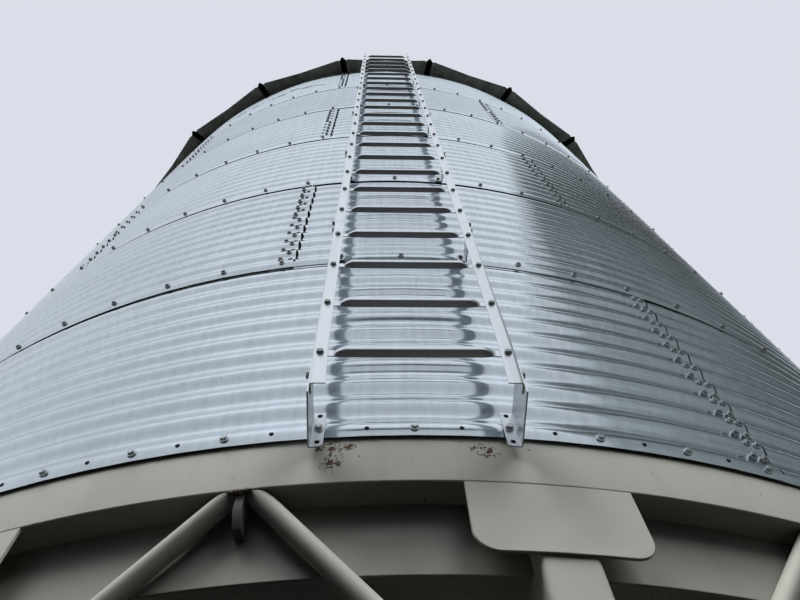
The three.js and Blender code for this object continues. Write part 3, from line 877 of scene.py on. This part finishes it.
def hopper_ring():
    """Band with its shelf, skirt, and cone plates with their weld seams, the rings with eased edges."""
    top = BAND_HIGH.z
    angle = np.radians([0, 22, 45, 68, 90])
    bend = [(BAND_R - BEND_R * (1 - math.sin(a)), SHELF_Z + BEND_R * (1 - math.cos(a))) for a in angle]
    band = Bodies()
    band.add(turned([
        (SHELF_INNER_R, SHELF_Z), *bend, (BAND_R, top - EASE), (BAND_R - EASE, top), (LEG_FRONT_R, top),
        (LEG_FRONT_R, SHELF_Z + BAND_PLATE), (SHELF_INNER_R, SHELF_Z + BAND_PLATE)]))
    skirt = Bodies()
    low, inner = SKIRT_LOW.z, SKIRT_R - BAND_PLATE
    skirt_top = SKIRT_HIGH.z
    skirt.add(turned([
        (inner, low + EASE), (inner + EASE, low), (SKIRT_R - EASE, low), (SKIRT_R, low + EASE),
        (SKIRT_R, skirt_top), (inner, skirt_top - BAND_PLATE * math.tan(CONE_SLOPE))]))
    cone = Bodies()
    rise = CONE_HIGH.z - CONE_PLATE
    cone.add(turned([(OUTLET_R, CONE_LOW.z), (CONE_R, rise), (CONE_R, rise + CONE_PLATE),
                     (OUTLET_R, CONE_LOW.z + CONE_PLATE)], ROUND_SIDES))
    for number in range(LEG_COUNT):
        bearing = LEG_BEARING + (number + 0.5) * LEG_ANGLE
        steps = np.linspace(0.3, CONE_R - 0.075, 60)
        path = around(steps, bearing, CONE_LOW.z + (steps - OUTLET_R) * math.tan(CONE_SLOPE) - 0.0005)
        cone.add(bead(path, 0.004, 300 + number))
    return band, skirt, cone


def outlet():
    """Outlet collar with its flange and a ring of bolts."""
    low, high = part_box("outlet_collar")
    lip, wall = high.x, OUTLET_R + FLANGE_PLATE
    seat = low.z + FLANGE_PLATE
    collar = Bodies()
    collar.add(turned([(OUTLET_R, low.z), (lip, low.z), (lip, seat), (wall, seat), (wall, high.z),
                       (OUTLET_R, high.z)], ROUND_SIDES))
    bearing = (np.arange(FLANGE_BOLTS) + 0.5) * 2 * math.pi / FLANGE_BOLTS
    up = np.tile([0.0, 0.0, 1.0], (FLANGE_BOLTS, 1))
    collar.add(placed(hex_bolt(*FLANGE_BOLT), around((lip + wall) / 2, bearing, seat), up, bearing), 1)
    return collar


def round_outline(points, radius):
    """A closed outline with each corner rounded, listed anticlockwise."""
    points = np.asarray(points, float)
    out = []
    for before, corner, after in zip(np.roll(points, 1, 0), points, np.roll(points, -1, 0)):
        a = (before - corner) / np.linalg.norm(before - corner)
        b = (after - corner) / np.linalg.norm(after - corner)
        half = math.acos(np.clip(a @ b, -1, 1)) / 2
        reach = radius / math.tan(half)
        centre = corner + (a + b) / np.linalg.norm(a + b) * radius / math.sin(half)
        start, end = corner + a * reach - centre, corner + b * reach - centre
        sweep = math.atan2(start[0] * end[1] - start[1] * end[0], start @ end)
        for t in np.linspace(0, sweep, CORNER_STEPS):
            c, s = math.cos(t), math.sin(t)
            out.append(centre + np.array([c * start[0] - s * start[1], s * start[0] + c * start[1]]))
    return np.array(out)


def gusset_plate():
    """The leg's head plate, rolled to the band's curve, with round lower corners and eased edges."""
    foot, top = GUSSET_FOOT, SHELF_Z - CLEAR
    arcs = []
    reach = GUSSET_HALF - GUSSET_CORNER
    for centre, start in ((reach, -math.pi / 2), (-reach, math.pi)):
        angle = start + np.linspace(0, math.pi / 2, 12)
        arcs.append(np.column_stack([centre + GUSSET_CORNER * np.cos(angle),
                                     foot + GUSSET_CORNER + GUSSET_CORNER * np.sin(angle)]))
    right, left = arcs[0], arcs[1]
    floor_row = np.column_stack([np.linspace(left[-1, 0], right[0, 0], 9)[1:-1], np.full(7, foot)])
    head_row = np.column_stack([np.linspace(GUSSET_HALF, -GUSSET_HALF, 15), np.full(15, top)])
    outline = np.concatenate([left, floor_row, right, head_row])
    middle = np.array([0.0, (foot + top) / 2])

    def rolled(radius, inset):
        inwards = middle - outline
        flat = outline + inwards * inset / np.linalg.norm(inwards, axis=1, keepdims=True)
        return around(radius, flat[:, 0] / BAND_R, flat[:, 1])

    sections = [rolled(LEG_FRONT_R, 0), rolled(BAND_R - EASE, 0), rolled(BAND_R, EASE)]
    points, faces = loft(sections, ends=False)
    count = len(outline)
    caps = []
    for face in (0, 2):
        index = np.arange(count) + face * count
        for i in range(count // 2 - 1):
            caps.append([index[i], index[i + 1], index[count - 2 - i], index[count - 1 - i]])
    return points, [*faces, np.array(caps)]


def legs(settings):
    """One leg: square tube with round corners, base plate with anchor bolts, gusset and weld beads."""
    front, mid = LEG_FRONT_R, LEG_FRONT_R - LEG_SIZE / 2
    half = LEG_SIZE / 2
    back = LEG_SIZE - front
    square = np.array([(-half, -front), (half, -front), (half, back), (-half, back)])
    foot = GUSSET_FOOT
    paint = Bodies()
    paint.add(prism(round_outline(square, settings.tube_round), BASE_THICK, foot - CLEAR))
    inner = -SHELF_INNER_R
    head = [(-half, -front), (half, -front), (half, inner), (-half, inner)]
    paint.add(prism(round_outline(head, settings.tube_round), foot - CLEAR, SHELF_Z - CLEAR))
    plate = BASE_PLATE / 2
    near, far = -mid - plate, -mid + plate
    base = round_outline([(-plate, near), (plate, near), (plate, far), (-plate, far)], 0.01)
    paint.add(prism(base, 0.0, BASE_THICK))
    paint.add(gusset_plate())
    asides = (-ANCHOR_ASIDE, ANCHOR_ASIDE)
    corners = [(x, -mid + y, BASE_THICK) for x in asides for y in asides]
    up = np.tile([0.0, 0.0, 1.0], (len(corners), 1))
    paint.add(placed(hex_bolt(*ANCHOR_BOLT), corners, up, np.arange(len(corners)) * 0.4), 1)
    for number, (a, b) in enumerate(zip(square, np.roll(square, -1, 0))):
        path = between((*a, BASE_THICK + 0.002), (*b, BASE_THICK + 0.002), 24)
        paint.add(bead(path, 0.005, 40 + number))
    for side in (-1, 1):
        path = between((side * half, -front, foot + 0.004), (side * half, -front, SHELF_Z - 0.004), 26)
        paint.add(bead(path, 0.004, 50 + side))
    return paint


def pipe(side):
    """A brace pipe, cut level under the shelf and upright at the leg's side."""
    half = LEG_ANGLE / 2
    apex = around(PIPE_APEX[0], PIPE_ASIDE, PIPE_APEX[1])
    foot = around(PIPE_FOOT[0], side * half, PIPE_FOOT[1])
    axis = (foot - apex) / np.linalg.norm(foot - apex)
    across = np.cross(axis, [0.0, 0.0, 1.0])
    across /= np.linalg.norm(across)
    up = np.cross(across, axis)
    angle = np.arange(PIPE_SIDES) * 2 * math.pi / PIPE_SIDES
    lines = apex + PIPE_R * (np.cos(angle)[:, None] * across + np.sin(angle)[:, None] * up)
    top = (SHELF_Z - PIPE_GAP - lines[:, 2]) / axis[2]
    normal = around(1.0, side * (half + math.pi / 2), 0.0)
    leg_side = -(LEG_SIZE / 2 + CLEAR)
    end = (leg_side - lines @ normal) / (axis @ normal)
    steps = np.linspace(0, 1, 6)
    run = top[None] + (end - top)[None] * steps[:, None]
    return loft(lines[None] + run[..., None] * axis)


def braces():
    """Two pipes, the stiffener behind their heads and the rusty weld where they meet the shelf."""
    bodies = Bodies()
    for side in (-1, 1):
        bodies.add(pipe(side))
    top, back = SHELF_Z - CLEAR, SHELF_INNER_R - CLEAR
    front, foot = STUB_FRONT_R, top - STUB_DROP
    plan = [(back, top), (front, top), (front, foot + 0.035), (front - 0.023, foot), (back, foot)]
    middle = PIPE_ASIDE * PIPE_APEX[0]
    sides = (middle - STUB_HALF, middle + STUB_HALF)
    bodies.add(loft([[(x, -radius, height) for radius, height in plan] for x in sides]), 2)
    angle = np.linspace(-0.95, 0.95, 18)
    along, across = WELD_LOOP
    for number, side in enumerate((-1, 1)):
        centre = np.array([middle + side * PIPE_HEAD_ASIDE, -PIPE_APEX[0], SHELF_Z - 0.002])
        ring = np.column_stack([-along * side * np.cos(angle), -across * np.sin(angle), 0 * angle])
        bodies.add(bead(centre + ring, 0.0032, 60 + number, 0.4), 1)
    for number, (reach, out, size) in enumerate(BRACE_LUMPS):
        y, z = -PIPE_APEX[0] - out, SHELF_Z - 0.003
        lump = between((middle - reach, y, z), (middle + reach, y - 0.003, z), 13)
        bodies.add(bead(lump, size, 66 + number, 0.5), 1)
    return bodies


def rail_outline(side):
    """Section of a rail: a flat face, a narrow strip bent back beside it and a web towards the wall."""
    x, y, sheet = RAIL_OUTER_X, RAIL_FACE_Y, RAIL_SHEET
    outline = [(x - RAIL_FACE, y), (x - RAIL_STRIP, y), (x - 0.0025, y + 0.0014),
               (x - 0.0006, y + 0.0024), (x, y + 0.0044), (x, y + RAIL_WEB), (x - sheet, y + RAIL_WEB),
               (x - sheet, y + 0.0055), (x - RAIL_STRIP, y + sheet), (x - RAIL_FACE, y + sheet)]
    return np.array(outline) * np.array([side, 1.0])


# Section of a rung from its top edge to its lower one: metres out from its flat ends, and above its middle
RUNG_SECTION = ((0.0, 0.0145), (0.005, 0.0132), (0.0167, 0.0078), (0.018, 0.0052), (0.018, -0.0060),
                (0.0167, -0.0088), (0.0055, -0.0122), (-0.0045, -0.0132))


def rung(middle, settings):
    """A pressed rung: a flat strip behind the rails' faces, drawn out into a trough between them."""
    shape = np.array(RUNG_SECTION)
    deep = shape[:, 0] * settings.rung_press / shape[:, 0].max()
    flat_z = np.linspace(0.0145, -0.0128, len(shape))
    base = RAIL_FACE_Y + RAIL_SHEET + 0.0002
    taper = np.linspace(RUNG_FLAT_X, RUNG_FLAT_X - RUNG_TAPER, 10)
    right = np.concatenate([[RAIL_OUTER_X - RAIL_SHEET, RUNG_FLAT_X + 0.008], taper, [0.11, 0.04]])
    places = np.concatenate([-right, right[::-1]])
    sections = []
    for x in places:
        t = np.clip((RUNG_FLAT_X - abs(x)) / RUNG_TAPER, 0, 1)
        drawn = math.sin(t * math.pi / 2) ** 0.9
        line = np.column_stack([base - deep * drawn, flat_z * (1 - drawn) + shape[:, 1] * drawn])
        along = np.gradient(line, axis=0)
        along /= np.linalg.norm(along, axis=1, keepdims=True)
        back = line + np.column_stack([-along[:, 1], along[:, 0]]) * settings.rung_strip
        ring = np.concatenate([line, back[::-1]])
        sections.append(np.column_stack([np.full(len(ring), x), ring[:, 0], middle + ring[:, 1]]))
    return loft(sections)


def bracket(side, low, high, corner, toe=0.0):
    """A bent strip: a lip on the wall, its inner lower corner round, and a web outside the rail."""
    seat = WALL_R + AMPLITUDE + 0.002
    tangent = np.array([math.cos(PITCH), math.sin(PITCH)])
    wall = around(seat, PITCH, 0.0)[:2]
    normal = np.array([math.sin(PITCH), -math.cos(PITCH)]) * BRACKET_SHEET
    outer = RAIL_OUTER_X + CLEAR + BRACKET_SHEET
    bend = (outer - wall[0]) / tangent[0]
    edge = [wall - BRACKET_LIP * tangent, wall - BRACKET_LIP * tangent + normal]
    turn = wall + (bend - BRACKET_SHEET) * tangent + normal
    front = RAIL_FACE_Y + 0.004
    heel = wall + bend * tangent
    web = [turn + (-0.0015, 0.0), turn + (-0.0003, -0.0012), (outer - BRACKET_SHEET - toe, front),
           (outer - toe, front), heel + (0.0, -0.004), heel + (-0.003, -0.0003)]
    sections = []
    levels = [(0.0, corner), (0.1 * corner, 0.58 * corner), (0.4 * corner, 0.2 * corner),
              (corner + 0.0005, 0.0), (high - low, 0.0)]
    for rise, inset in levels:
        plan = np.array([p + inset * tangent for p in edge] + web) * np.array([side, 1.0])
        sections.append(np.column_stack([plan, np.full(len(plan), low + rise)]))
    return loft(sections)


def seat_bolts(side, height):
    """Place and direction of the bolt that holds a bracket's lip."""
    return around(WALL_R + AMPLITUDE + 0.006, side * PITCH, height), around(1.0, side * PITCH, 0.0)


def foot_bracket(side):
    """The ladder's foot: a longer bracket with one bolt and two empty holes in its lip."""
    seam = SEAMS[0]
    bodies = Bodies()
    bodies.add(bracket(side, seam - FOOT_DROP, seam + FOOT_RISE, 0.012, FOOT_TOE))
    place, out = seat_bolts(side, seam)
    bodies.add(placed(hex_bolt(*FOOT_BOLT), [place], [out], np.array([0.3])), 1)
    holes = [place + (0, 0, -FOOT_HOLE - 0.004), place + (0, 0, FOOT_HOLE)]
    bodies.add(placed(disc(*FOOT_DISC), holes, [out, out], np.zeros(2)), 2)
    return bodies


def ladder_section(index, settings):
    """Two rails and four rungs, with the clips at the seam near the section's foot and all its bolts."""
    foot = LADDER_FOOT + index * RUNG_PITCH * RUNGS_A_SECTION
    last = index + 1 == SECTION_COUNT
    top = LADDER_TOP if last else foot + RUNG_PITCH * RUNGS_A_SECTION - CLEAR
    toe = 0.0 if index else FOOT_TOE
    draw = np.random.default_rng(200 + index)
    bodies = Bodies()
    for side in (-1, 1):
        outline = rail_outline(side)
        rail = [(foot + 0.0008, toe), (foot + FOOT_TOE_RISE, 0.0), (top - 0.0008, 0.0)]
        bodies.add(loft([np.column_stack([outline - (side * inward, 0.0), np.full(len(outline), z)])
                         for z, inward in rail]))
    heights = [foot + (i + 0.5) * RUNG_PITCH for i in range(RUNGS_A_SECTION)]
    for middle in heights:
        bodies.add(rung(middle, settings))
    origins = [(side * RUNG_BOLT_X, RAIL_FACE_Y, z) for side in (-1, 1) for z in heights]
    outward = [(0.0, -1.0, 0.0)] * len(origins)
    side_rises = [SIDE_BOLT_RISE[min(index, 1)]]
    if not last:
        side_rises.append(top - SIDE_BOLT_DROP - foot)
    for side, rise in itertools.product((-1, 1), side_rises):
        on_bracket = rise in SIDE_BOLT_RISE
        web_x = RAIL_OUTER_X + (BRACKET_SHEET + CLEAR if on_bracket else 0.0)
        web_x -= toe * max(0.0, 1 - rise / FOOT_TOE_RISE)
        origins.append((side * web_x, SIDE_BOLT_Y, foot + rise))
        outward.append((float(side), 0.0, 0.0))
    if index:
        for side in (-1, 1):
            bodies.add(bracket(side, SEAMS[index] - CLIP_HALF, SEAMS[index] + CLIP_HALF, 0.010))
            place, out = seat_bolts(side, SEAMS[index])
            origins.append(place)
            outward.append(out)
            hole = place + (0, 0, -CLIP_HOLE)
            bodies.add(placed(disc(*CLIP_DISC), [hole], [out], np.zeros(1)), 2)
    turns = draw.uniform(0, 1, len(origins))
    bodies.add(placed(hex_bolt(*LADDER_BOLT), origins, outward, turns), 1)
    return bodies


# Skies as (place, brightness), where a place runs from straight down (0) over the horizon (0.5) to straight
# up (1). The zinc mirrors the first two, the second where a ray points far enough towards -X, and the paint
# is lit by the third.
BELOW_HORIZON = ((0.0, 0.10), (0.2, 0.12), (0.36, 0.014))
MIRRORED_SKY = (*BELOW_HORIZON, (0.50, 0.035), (0.552, 0.36), (0.604, 0.55), (0.68, 0.60), (0.775, 0.66),
                (0.85, 0.82), (0.915, 1.0), (0.97, 0.90), (1.0, 0.85))
MIRRORED_SKY_ASIDE = (*BELOW_HORIZON, (0.50, 0.06), (0.552, 0.55), (0.604, 0.62), (0.70, 0.70),
                      (0.87, 0.74), (0.915, 0.70), (0.945, 0.62), (0.985, 0.66), (1.0, 0.80))
LIGHTING_SKY = ((0.0, 0.0025), (0.50, 0.006), (0.68, 0.02), (0.80, 0.14), (0.88, 1.0), (1.0, 1.25))
ZINC_SKY_TINT = (0.945, 1.0, 1.07)
ASIDE_SPAN = (-0.72, -0.99)  # a ray's X on the level, where the second sky starts and where it is alone
BACKDROP = (0.70, 0.73, 0.81, 1.0)

# Dark card: bearing of its middle, half the angle it is rolled through, and two greys for either side
CARD_BEARING = math.radians(49)
CARD_SWEEP = 1.75
CARD_DULL = ((0.032, 0.038, 0.04, 1.0), (0.125, 0.145, 0.15, 1.0))
CARD_PALE = ((0.15, 0.168, 0.176, 1.0), (0.36, 0.40, 0.415, 1.0))

FLOOR_SIDES = 96
FLOOR_LEVELS = (-0.05, -0.0005)

# Lamps: strength, bearing, tilt and angular size in degrees
LAMPS = {"soft_key": (2.75, -50, 28, 30), "soft_fill": (1.7, 46, 39, 42)}


def pale_world(sky):
    """Two skies for what zinc mirrors and one that lights the paint. The camera sees a plain backdrop."""
    world = bpy.data.worlds.new("pale_world")
    bpy.context.scene.world = world
    f = Nodes(world)
    x, _, z = f.parts(f.add("ShaderNodeTexCoord").outputs["Generated"])
    height = f.span(z, -1.0, 1.0)

    def gradient(stops, tint=(1.0, 1.0, 1.0)):
        made = f.add("ShaderNodeValToRGB", {0: height})
        ramp = made.color_ramp
        ramp.interpolation = "EASE"
        while len(ramp.elements) < len(stops):
            ramp.elements.new(0.5)
        for element, (place, bright) in zip(ramp.elements, stops):
            element.position = place
            element.color = (*(bright * t for t in tint), 1.0)
        return f.add("ShaderNodeBackground", {0: made.outputs[0], 1: sky}).outputs[0]

    def blend(factor, a, b):
        return f.add("ShaderNodeMixShader", {0: factor, 1: a, 2: b}).outputs[0]

    level_reach = f.math("POWER", f.math("SUBTRACT", 1.0001, f.math("MULTIPLY", z, z)), 0.5)
    aside = f.span(f.math("DIVIDE", x, level_reach), *ASIDE_SPAN)
    ahead, sideways = gradient(MIRRORED_SKY, ZINC_SKY_TINT), gradient(MIRRORED_SKY_ASIDE, ZINC_SKY_TINT)
    mirrored = blend(aside, ahead, sideways)
    path = f.add("ShaderNodeLightPath").outputs
    light = blend(path["Is Glossy Ray"], gradient(LIGHTING_SKY), mirrored)
    seen = f.add("ShaderNodeBackground", {0: BACKDROP}).outputs[0]
    f.add("ShaderNodeOutputWorld", {0: blend(path["Is Camera Ray"], light, seen)})


def dark_card(settings):
    """A tall curved card that only the zinc mirrors, for the darker right side of the wall."""
    centre = around(settings.card_distance, CARD_BEARING, 0.0)
    bearing = CARD_BEARING + math.pi + np.linspace(-CARD_SWEEP, CARD_SWEEP, 48)
    levels = (settings.card_foot, WALL_TOP)
    grid = np.stack([around(settings.card_radius, bearing, z) + centre for z in levels])
    bodies = Bodies()
    bodies.add(shell(grid, grid * 1.0005))
    mesh = bodies.mesh("dark_card")
    card = in_scene("dark_card", mesh)
    f = Finish("card_finish", specular=0.0)
    tone = f.span(f.noise(1.0, 3.0, f.stretch(f.place, (1.0, 1.0, 14.0))), 0.3, 0.7)
    across = (math.cos(CARD_BEARING), math.sin(CARD_BEARING), 0.0)
    aside = f.add("ShaderNodeVectorMath", {0: f.place, 1: across}, operation="DOT_PRODUCT")
    side = f.span(aside.outputs["Value"], -2.6, -0.2, 1.0, 0.0)
    glow = f.mix(side, f.mix(tone, *CARD_DULL), f.mix(tone, *CARD_PALE))
    f.put(f.shader.inputs["Emission Color"], glow)
    height = f.parts(f.place)[2]
    low = f.span(height, 5.5, 7.2, 1.3, 0.6)
    strength = f.math("ADD", low, f.span(height, 8.0, 9.2, 0.0, 0.4))
    f.put(f.shader.inputs["Emission Strength"], strength)
    mesh.materials.append(f.set((0.0, 0.0, 0.0, 1.0), 1.0, None))
    card.visible_camera = card.visible_diffuse = card.visible_shadow = False


def pale_floor(settings):
    """A wide disc under the silo that neither lights it nor shows in its zinc."""
    angle = np.arange(FLOOR_SIDES) * 2 * math.pi / FLOOR_SIDES
    ring = np.column_stack([np.cos(angle), np.sin(angle)]) * settings.floor_radius
    bodies = Bodies()
    bodies.add(prism(ring, *FLOOR_LEVELS))
    mesh = bodies.mesh("pale_floor")
    floor = in_scene("pale_floor", mesh)
    f = Finish("floor_finish", specular=0.1)
    pale = settings.floor_colour
    mesh.materials.append(f.set(f.mix(f.noise(0.6, 4.0), shade(pale, 0.96), pale), 0.9, None))
    floor.visible_diffuse = floor.visible_glossy = False


def soft_lamps(strength):
    """Two broad suns that the zinc doesn't mirror."""
    for name, (energy, aside, tilt, spread) in LAMPS.items():
        sun = bpy.data.lights.new(name, "SUN")
        sun.energy = energy * strength
        sun.angle = math.radians(spread)
        lamp = in_scene(name, sun)
        lamp.rotation_euler = (math.radians(tilt), 0.0, math.radians(aside))
        lamp.visible_glossy = False


def camera_matrix():
    """The camera's place and axes from its yaw, pitch and roll."""
    yaw, pitch, roll = (math.radians(a) for a in (CAMERA_YAW, CAMERA_PITCH, CAMERA_ROLL))
    ahead = np.array([math.sin(yaw) * math.cos(pitch), math.cos(yaw) * math.cos(pitch), math.sin(pitch)])
    level = np.array([math.cos(yaw), -math.sin(yaw), 0.0])
    over = np.cross(level, ahead)
    right = math.cos(roll) * level + math.sin(roll) * over
    up = -math.sin(roll) * level + math.cos(roll) * over
    rows = [[right[i], up[i], -ahead[i], CAMERA_PLACE[i]] for i in range(3)]
    return Matrix([*rows, [0.0, 0.0, 0.0, 1.0]])


def view_from_below():
    """The camera of the photograph."""
    camera = bpy.data.cameras.new("view_from_below")
    camera.sensor_width = SENSOR_WIDTH_MM
    camera.lens = CAMERA_FOCAL_PX * SENSOR_WIDTH_MM / PHOTO_WIDTH_PX
    camera.clip_end = 200.0
    holder = in_scene("view_from_below", camera)
    holder.matrix_world = camera_matrix()
    bpy.context.scene.camera = holder


# Darker and lighter grey of the bolts; the darker copy is painted shade, for heads seen from below
BOLT_GREYS = {
    "bolt_zinc": ((0.42, 0.44, 0.45, 1.0), (0.7, 0.72, 0.74, 1.0)),
    "shaded_bolt_zinc": ((0.17, 0.175, 0.175, 1.0), (0.36, 0.38, 0.38, 1.0)),
}


def find(name, make):
    """A material by name, made once."""
    return bpy.data.materials.get(name) or make()


def bolt_material(name="bolt_zinc"):
    """Zinc for bolts, bright or darkened as painted shade, by name."""
    return find(name, lambda: bolt_zinc(name, *BOLT_GREYS[name]))


def gap_material():
    return find("dark_gap", dark_gap)


def paint_material(scene, name="hopper_paint", tone=1.0):
    """The hopper's paint, or a copy made brighter or darker as painted light or shade, under another name.
    """
    hopper = scene.silo_hopper
    return find(name, lambda: painted_steel(name, shade(hopper.colour, tone), hopper.rust))


def piece_round(name, node, shape, first, materials):
    """Fourteen like pieces of the hopper from one shape, the first at a bearing, one to a node."""
    for number in range(LEG_COUNT):
        made = Bodies()
        made.points = [swung(points, first + number * LEG_ANGLE) for points in shape.points]
        made.faces, made.finishes, made.count = shape.faces, shape.finishes, shape.count
        place = f"{number + 1:02d}"
        piece(f"{name}_{place}", made, materials, [f"{node}_{place}"])


class SILO_OT_wall(bpy.types.Operator):
    """Build the six rings of corrugated sheets"""
    bl_idname = "silo.wall"
    bl_label = "Wall Sheets"

    def execute(self, context):
        settings = context.scene.silo_wall
        zinc = galvanised("wall_zinc", settings.colour, settings.roughness, rings=RING_TINTS)
        for ring in range(RING_COUNT):
            piece(f"wall_sheets_{ring + 1}", wall_sheets(ring, settings.sheet), [zinc],
                  [f"wall_ring_{ring + 1}"], crease=50, outward=True)
        return {"FINISHED"}


class SILO_OT_wall_bolts(bpy.types.Operator):
    """Bolt and seal the wall's seams, the sealant partly standing in for the laps' shadow, and show the
    spare holes of the lowest row as dark discs of painted shade
    """
    bl_idname = "silo.wall_bolts"
    bl_label = "Wall Bolts"

    def execute(self, context):
        settings = context.scene.silo_wall
        for ring in range(RING_COUNT):
            # Above the lowest ring the heads are darkened as painted shade
            bolts = [bolt_material("shaded_bolt_zinc"), bolt_material()] if ring else [bolt_material()]
            piece(f"wall_bolts_{ring + 1}", wall_bolts(ring, settings), bolts)
            piece(f"lap_seals_and_shadow_{ring + 1}", lap_seals_and_shadow(ring), [gap_material()])
        piece("spare_holes", spare_holes(), [gap_material()])
        return {"FINISHED"}


class SILO_OT_roof(bpy.types.Operator):
    """Build the ribbed roof with its fill collar and lid"""
    bl_idname = "silo.roof"
    bl_label = "Roof"

    def execute(self, context):
        settings = context.scene.silo_roof
        zinc = roof_zinc(settings.colour, settings.under)
        piece("roof_panels", roof_sheets(settings), [zinc], ["roof"], crease=20)
        # Dark fills that stand as painted shade in the ribs' open ends
        piece("rib_shade_fills", rib_shade_fills(settings), [gap_material()])
        collar, lid = roof_top()
        piece("fill_collar", collar, [zinc], ["roof_collar"])
        piece("fill_lid", lid, [zinc], ["roof_lid"])
        return {"FINISHED"}


class SILO_OT_hopper(bpy.types.Operator):
    """Build the hopper's rings, cone and outlet, and paint the slide gate"""
    bl_idname = "silo.hopper"
    bl_label = "Hopper"

    def execute(self, context):
        paint = paint_material(context.scene)
        band, skirt, cone = hopper_ring()
        # The band's paint is lightened as painted light, the skirt's darkened as painted shade
        lightened_band_paint = paint_material(context.scene, "band_painted_light", BAND_TONE)
        shaded_skirt_paint = paint_material(context.scene, "skirt_painted_shade", SKIRT_TONE)
        piece("hopper_band", band, [lightened_band_paint], ["hopper_ring"])
        piece("skirt_band", skirt, [shaded_skirt_paint], ["skirt_ring"])
        piece("cone_plates", cone, [paint], ["hopper_cone"])
        piece("outlet_flange", outlet(), [paint, bolt_material()], ["outlet_collar"])
        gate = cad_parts["slide_gate"]
        gate.data.materials.clear()
        gate.data.materials.append(paint)
        ease = gate.modifiers.new("eased_edges", "BEVEL")
        ease.width = GATE_EASE
        ease.segments = 2
        return {"FINISHED"}


class SILO_OT_legs(bpy.types.Operator):
    """Build the fourteen legs with gussets and base plates"""
    bl_idname = "silo.legs"
    bl_label = "Legs"

    def execute(self, context):
        materials = [paint_material(context.scene), bolt_material()]
        piece_round("square_leg", "leg", legs(context.scene.silo_hopper), LEG_BEARING, materials)
        return {"FINISHED"}


class SILO_OT_braces(bpy.types.Operator):
    """Build the pipe braces between the legs"""
    bl_idname = "silo.braces"
    bl_label = "Braces"

    def execute(self, context):
        hopper = context.scene.silo_hopper
        paint = paint_material(context.scene)
        weld = rusty_weld(shade(hopper.colour, 0.55), hopper.rust)
        # The stiffener's paint is darkened as painted shade under the shelf
        shaded_stub_paint = paint_material(context.scene, "stub_painted_shade", STUB_TONE)
        first = LEG_BEARING + 0.5 * LEG_ANGLE
        piece_round("pipe_brace", "brace", braces(), first, [paint, weld, shaded_stub_paint])
        return {"FINISHED"}


class SILO_OT_ladder(bpy.types.Operator):
    """Build the ladder with its rungs, clips and feet"""
    bl_idname = "silo.ladder"
    bl_label = "Ladder"

    def execute(self, context):
        settings = context.scene.silo_ladder
        zinc = galvanised("ladder_zinc", settings.colour, 0.34, spangle=120.0, dirt=0.12, wobble=0.4,
                          shaded_under=True)
        # The ladder's bolts take the zinc darkened as painted shade
        section_finish = [zinc, bolt_material("shaded_bolt_zinc"), gap_material()]
        for index in range(SECTION_COUNT):
            piece(f"ladder_part_{index + 1}", ladder_section(index, settings), section_finish,
                  [f"ladder_section_{index + 1}"])
        foot_finish = [zinc, bolt_material(), gap_material()]
        for side, name in ((-1, "left"), (1, "right")):
            piece(f"foot_bracket_{name}", foot_bracket(side), foot_finish,
                  [f"ladder_foot_{name}"])
        return {"FINISHED"}


class SILO_OT_stage(bpy.types.Operator):
    """Lay the pale floor, light the silo softly and set the camera"""
    bl_idname = "silo.stage"
    bl_label = "Stage"

    def execute(self, context):
        settings = context.scene.silo_stage
        pale_world(settings.sky)
        pale_floor(settings)
        dark_card(settings)
        soft_lamps(settings.lamps)
        view_from_below()
        context.scene.view_settings.view_transform = "Standard"
        return {"FINISHED"}


class SILO_PT_builder(bpy.types.Panel):
    bl_label = "Grain Silo"
    bl_idname = "SILO_PT_builder"
    bl_space_type = "VIEW_3D"
    bl_region_type = "UI"
    bl_category = "Silo"

    def draw(self, context):
        for operator in OPERATORS:
            self.layout.operator(operator.bl_idname)
        for group in GROUPS:
            settings = getattr(context.scene, group)
            for name in settings.__annotations__:
                self.layout.prop(settings, name)


GROUPS = {"silo_wall": SiloWallSettings, "silo_roof": SiloRoofSettings, "silo_ladder": SiloLadderSettings,
          "silo_hopper": SiloHopperSettings, "silo_stage": SiloStageSettings}
OPERATORS = (SILO_OT_stage, SILO_OT_wall, SILO_OT_wall_bolts, SILO_OT_roof, SILO_OT_hopper, SILO_OT_legs,
             SILO_OT_braces, SILO_OT_ladder)


def register():
    for made in (*GROUPS.values(), *OPERATORS, SILO_PT_builder):
        bpy.utils.register_class(made)
    for name, group in GROUPS.items():
        setattr(bpy.types.Scene, name, PointerProperty(type=group))


def unregister():
    for name in GROUPS:
        delattr(bpy.types.Scene, name)
    for made in (SILO_PT_builder, *reversed(OPERATORS), *reversed(GROUPS.values())):
        bpy.utils.unregister_class(made)


def main():
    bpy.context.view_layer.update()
    register()
    bpy.ops.silo.stage()
    bpy.ops.silo.wall()
    bpy.ops.silo.wall_bolts()
    bpy.ops.silo.roof()
    bpy.ops.silo.hopper()
    bpy.ops.silo.legs()
    bpy.ops.silo.braces()
    bpy.ops.silo.ladder()


if __name__ == "__main__":
    main()
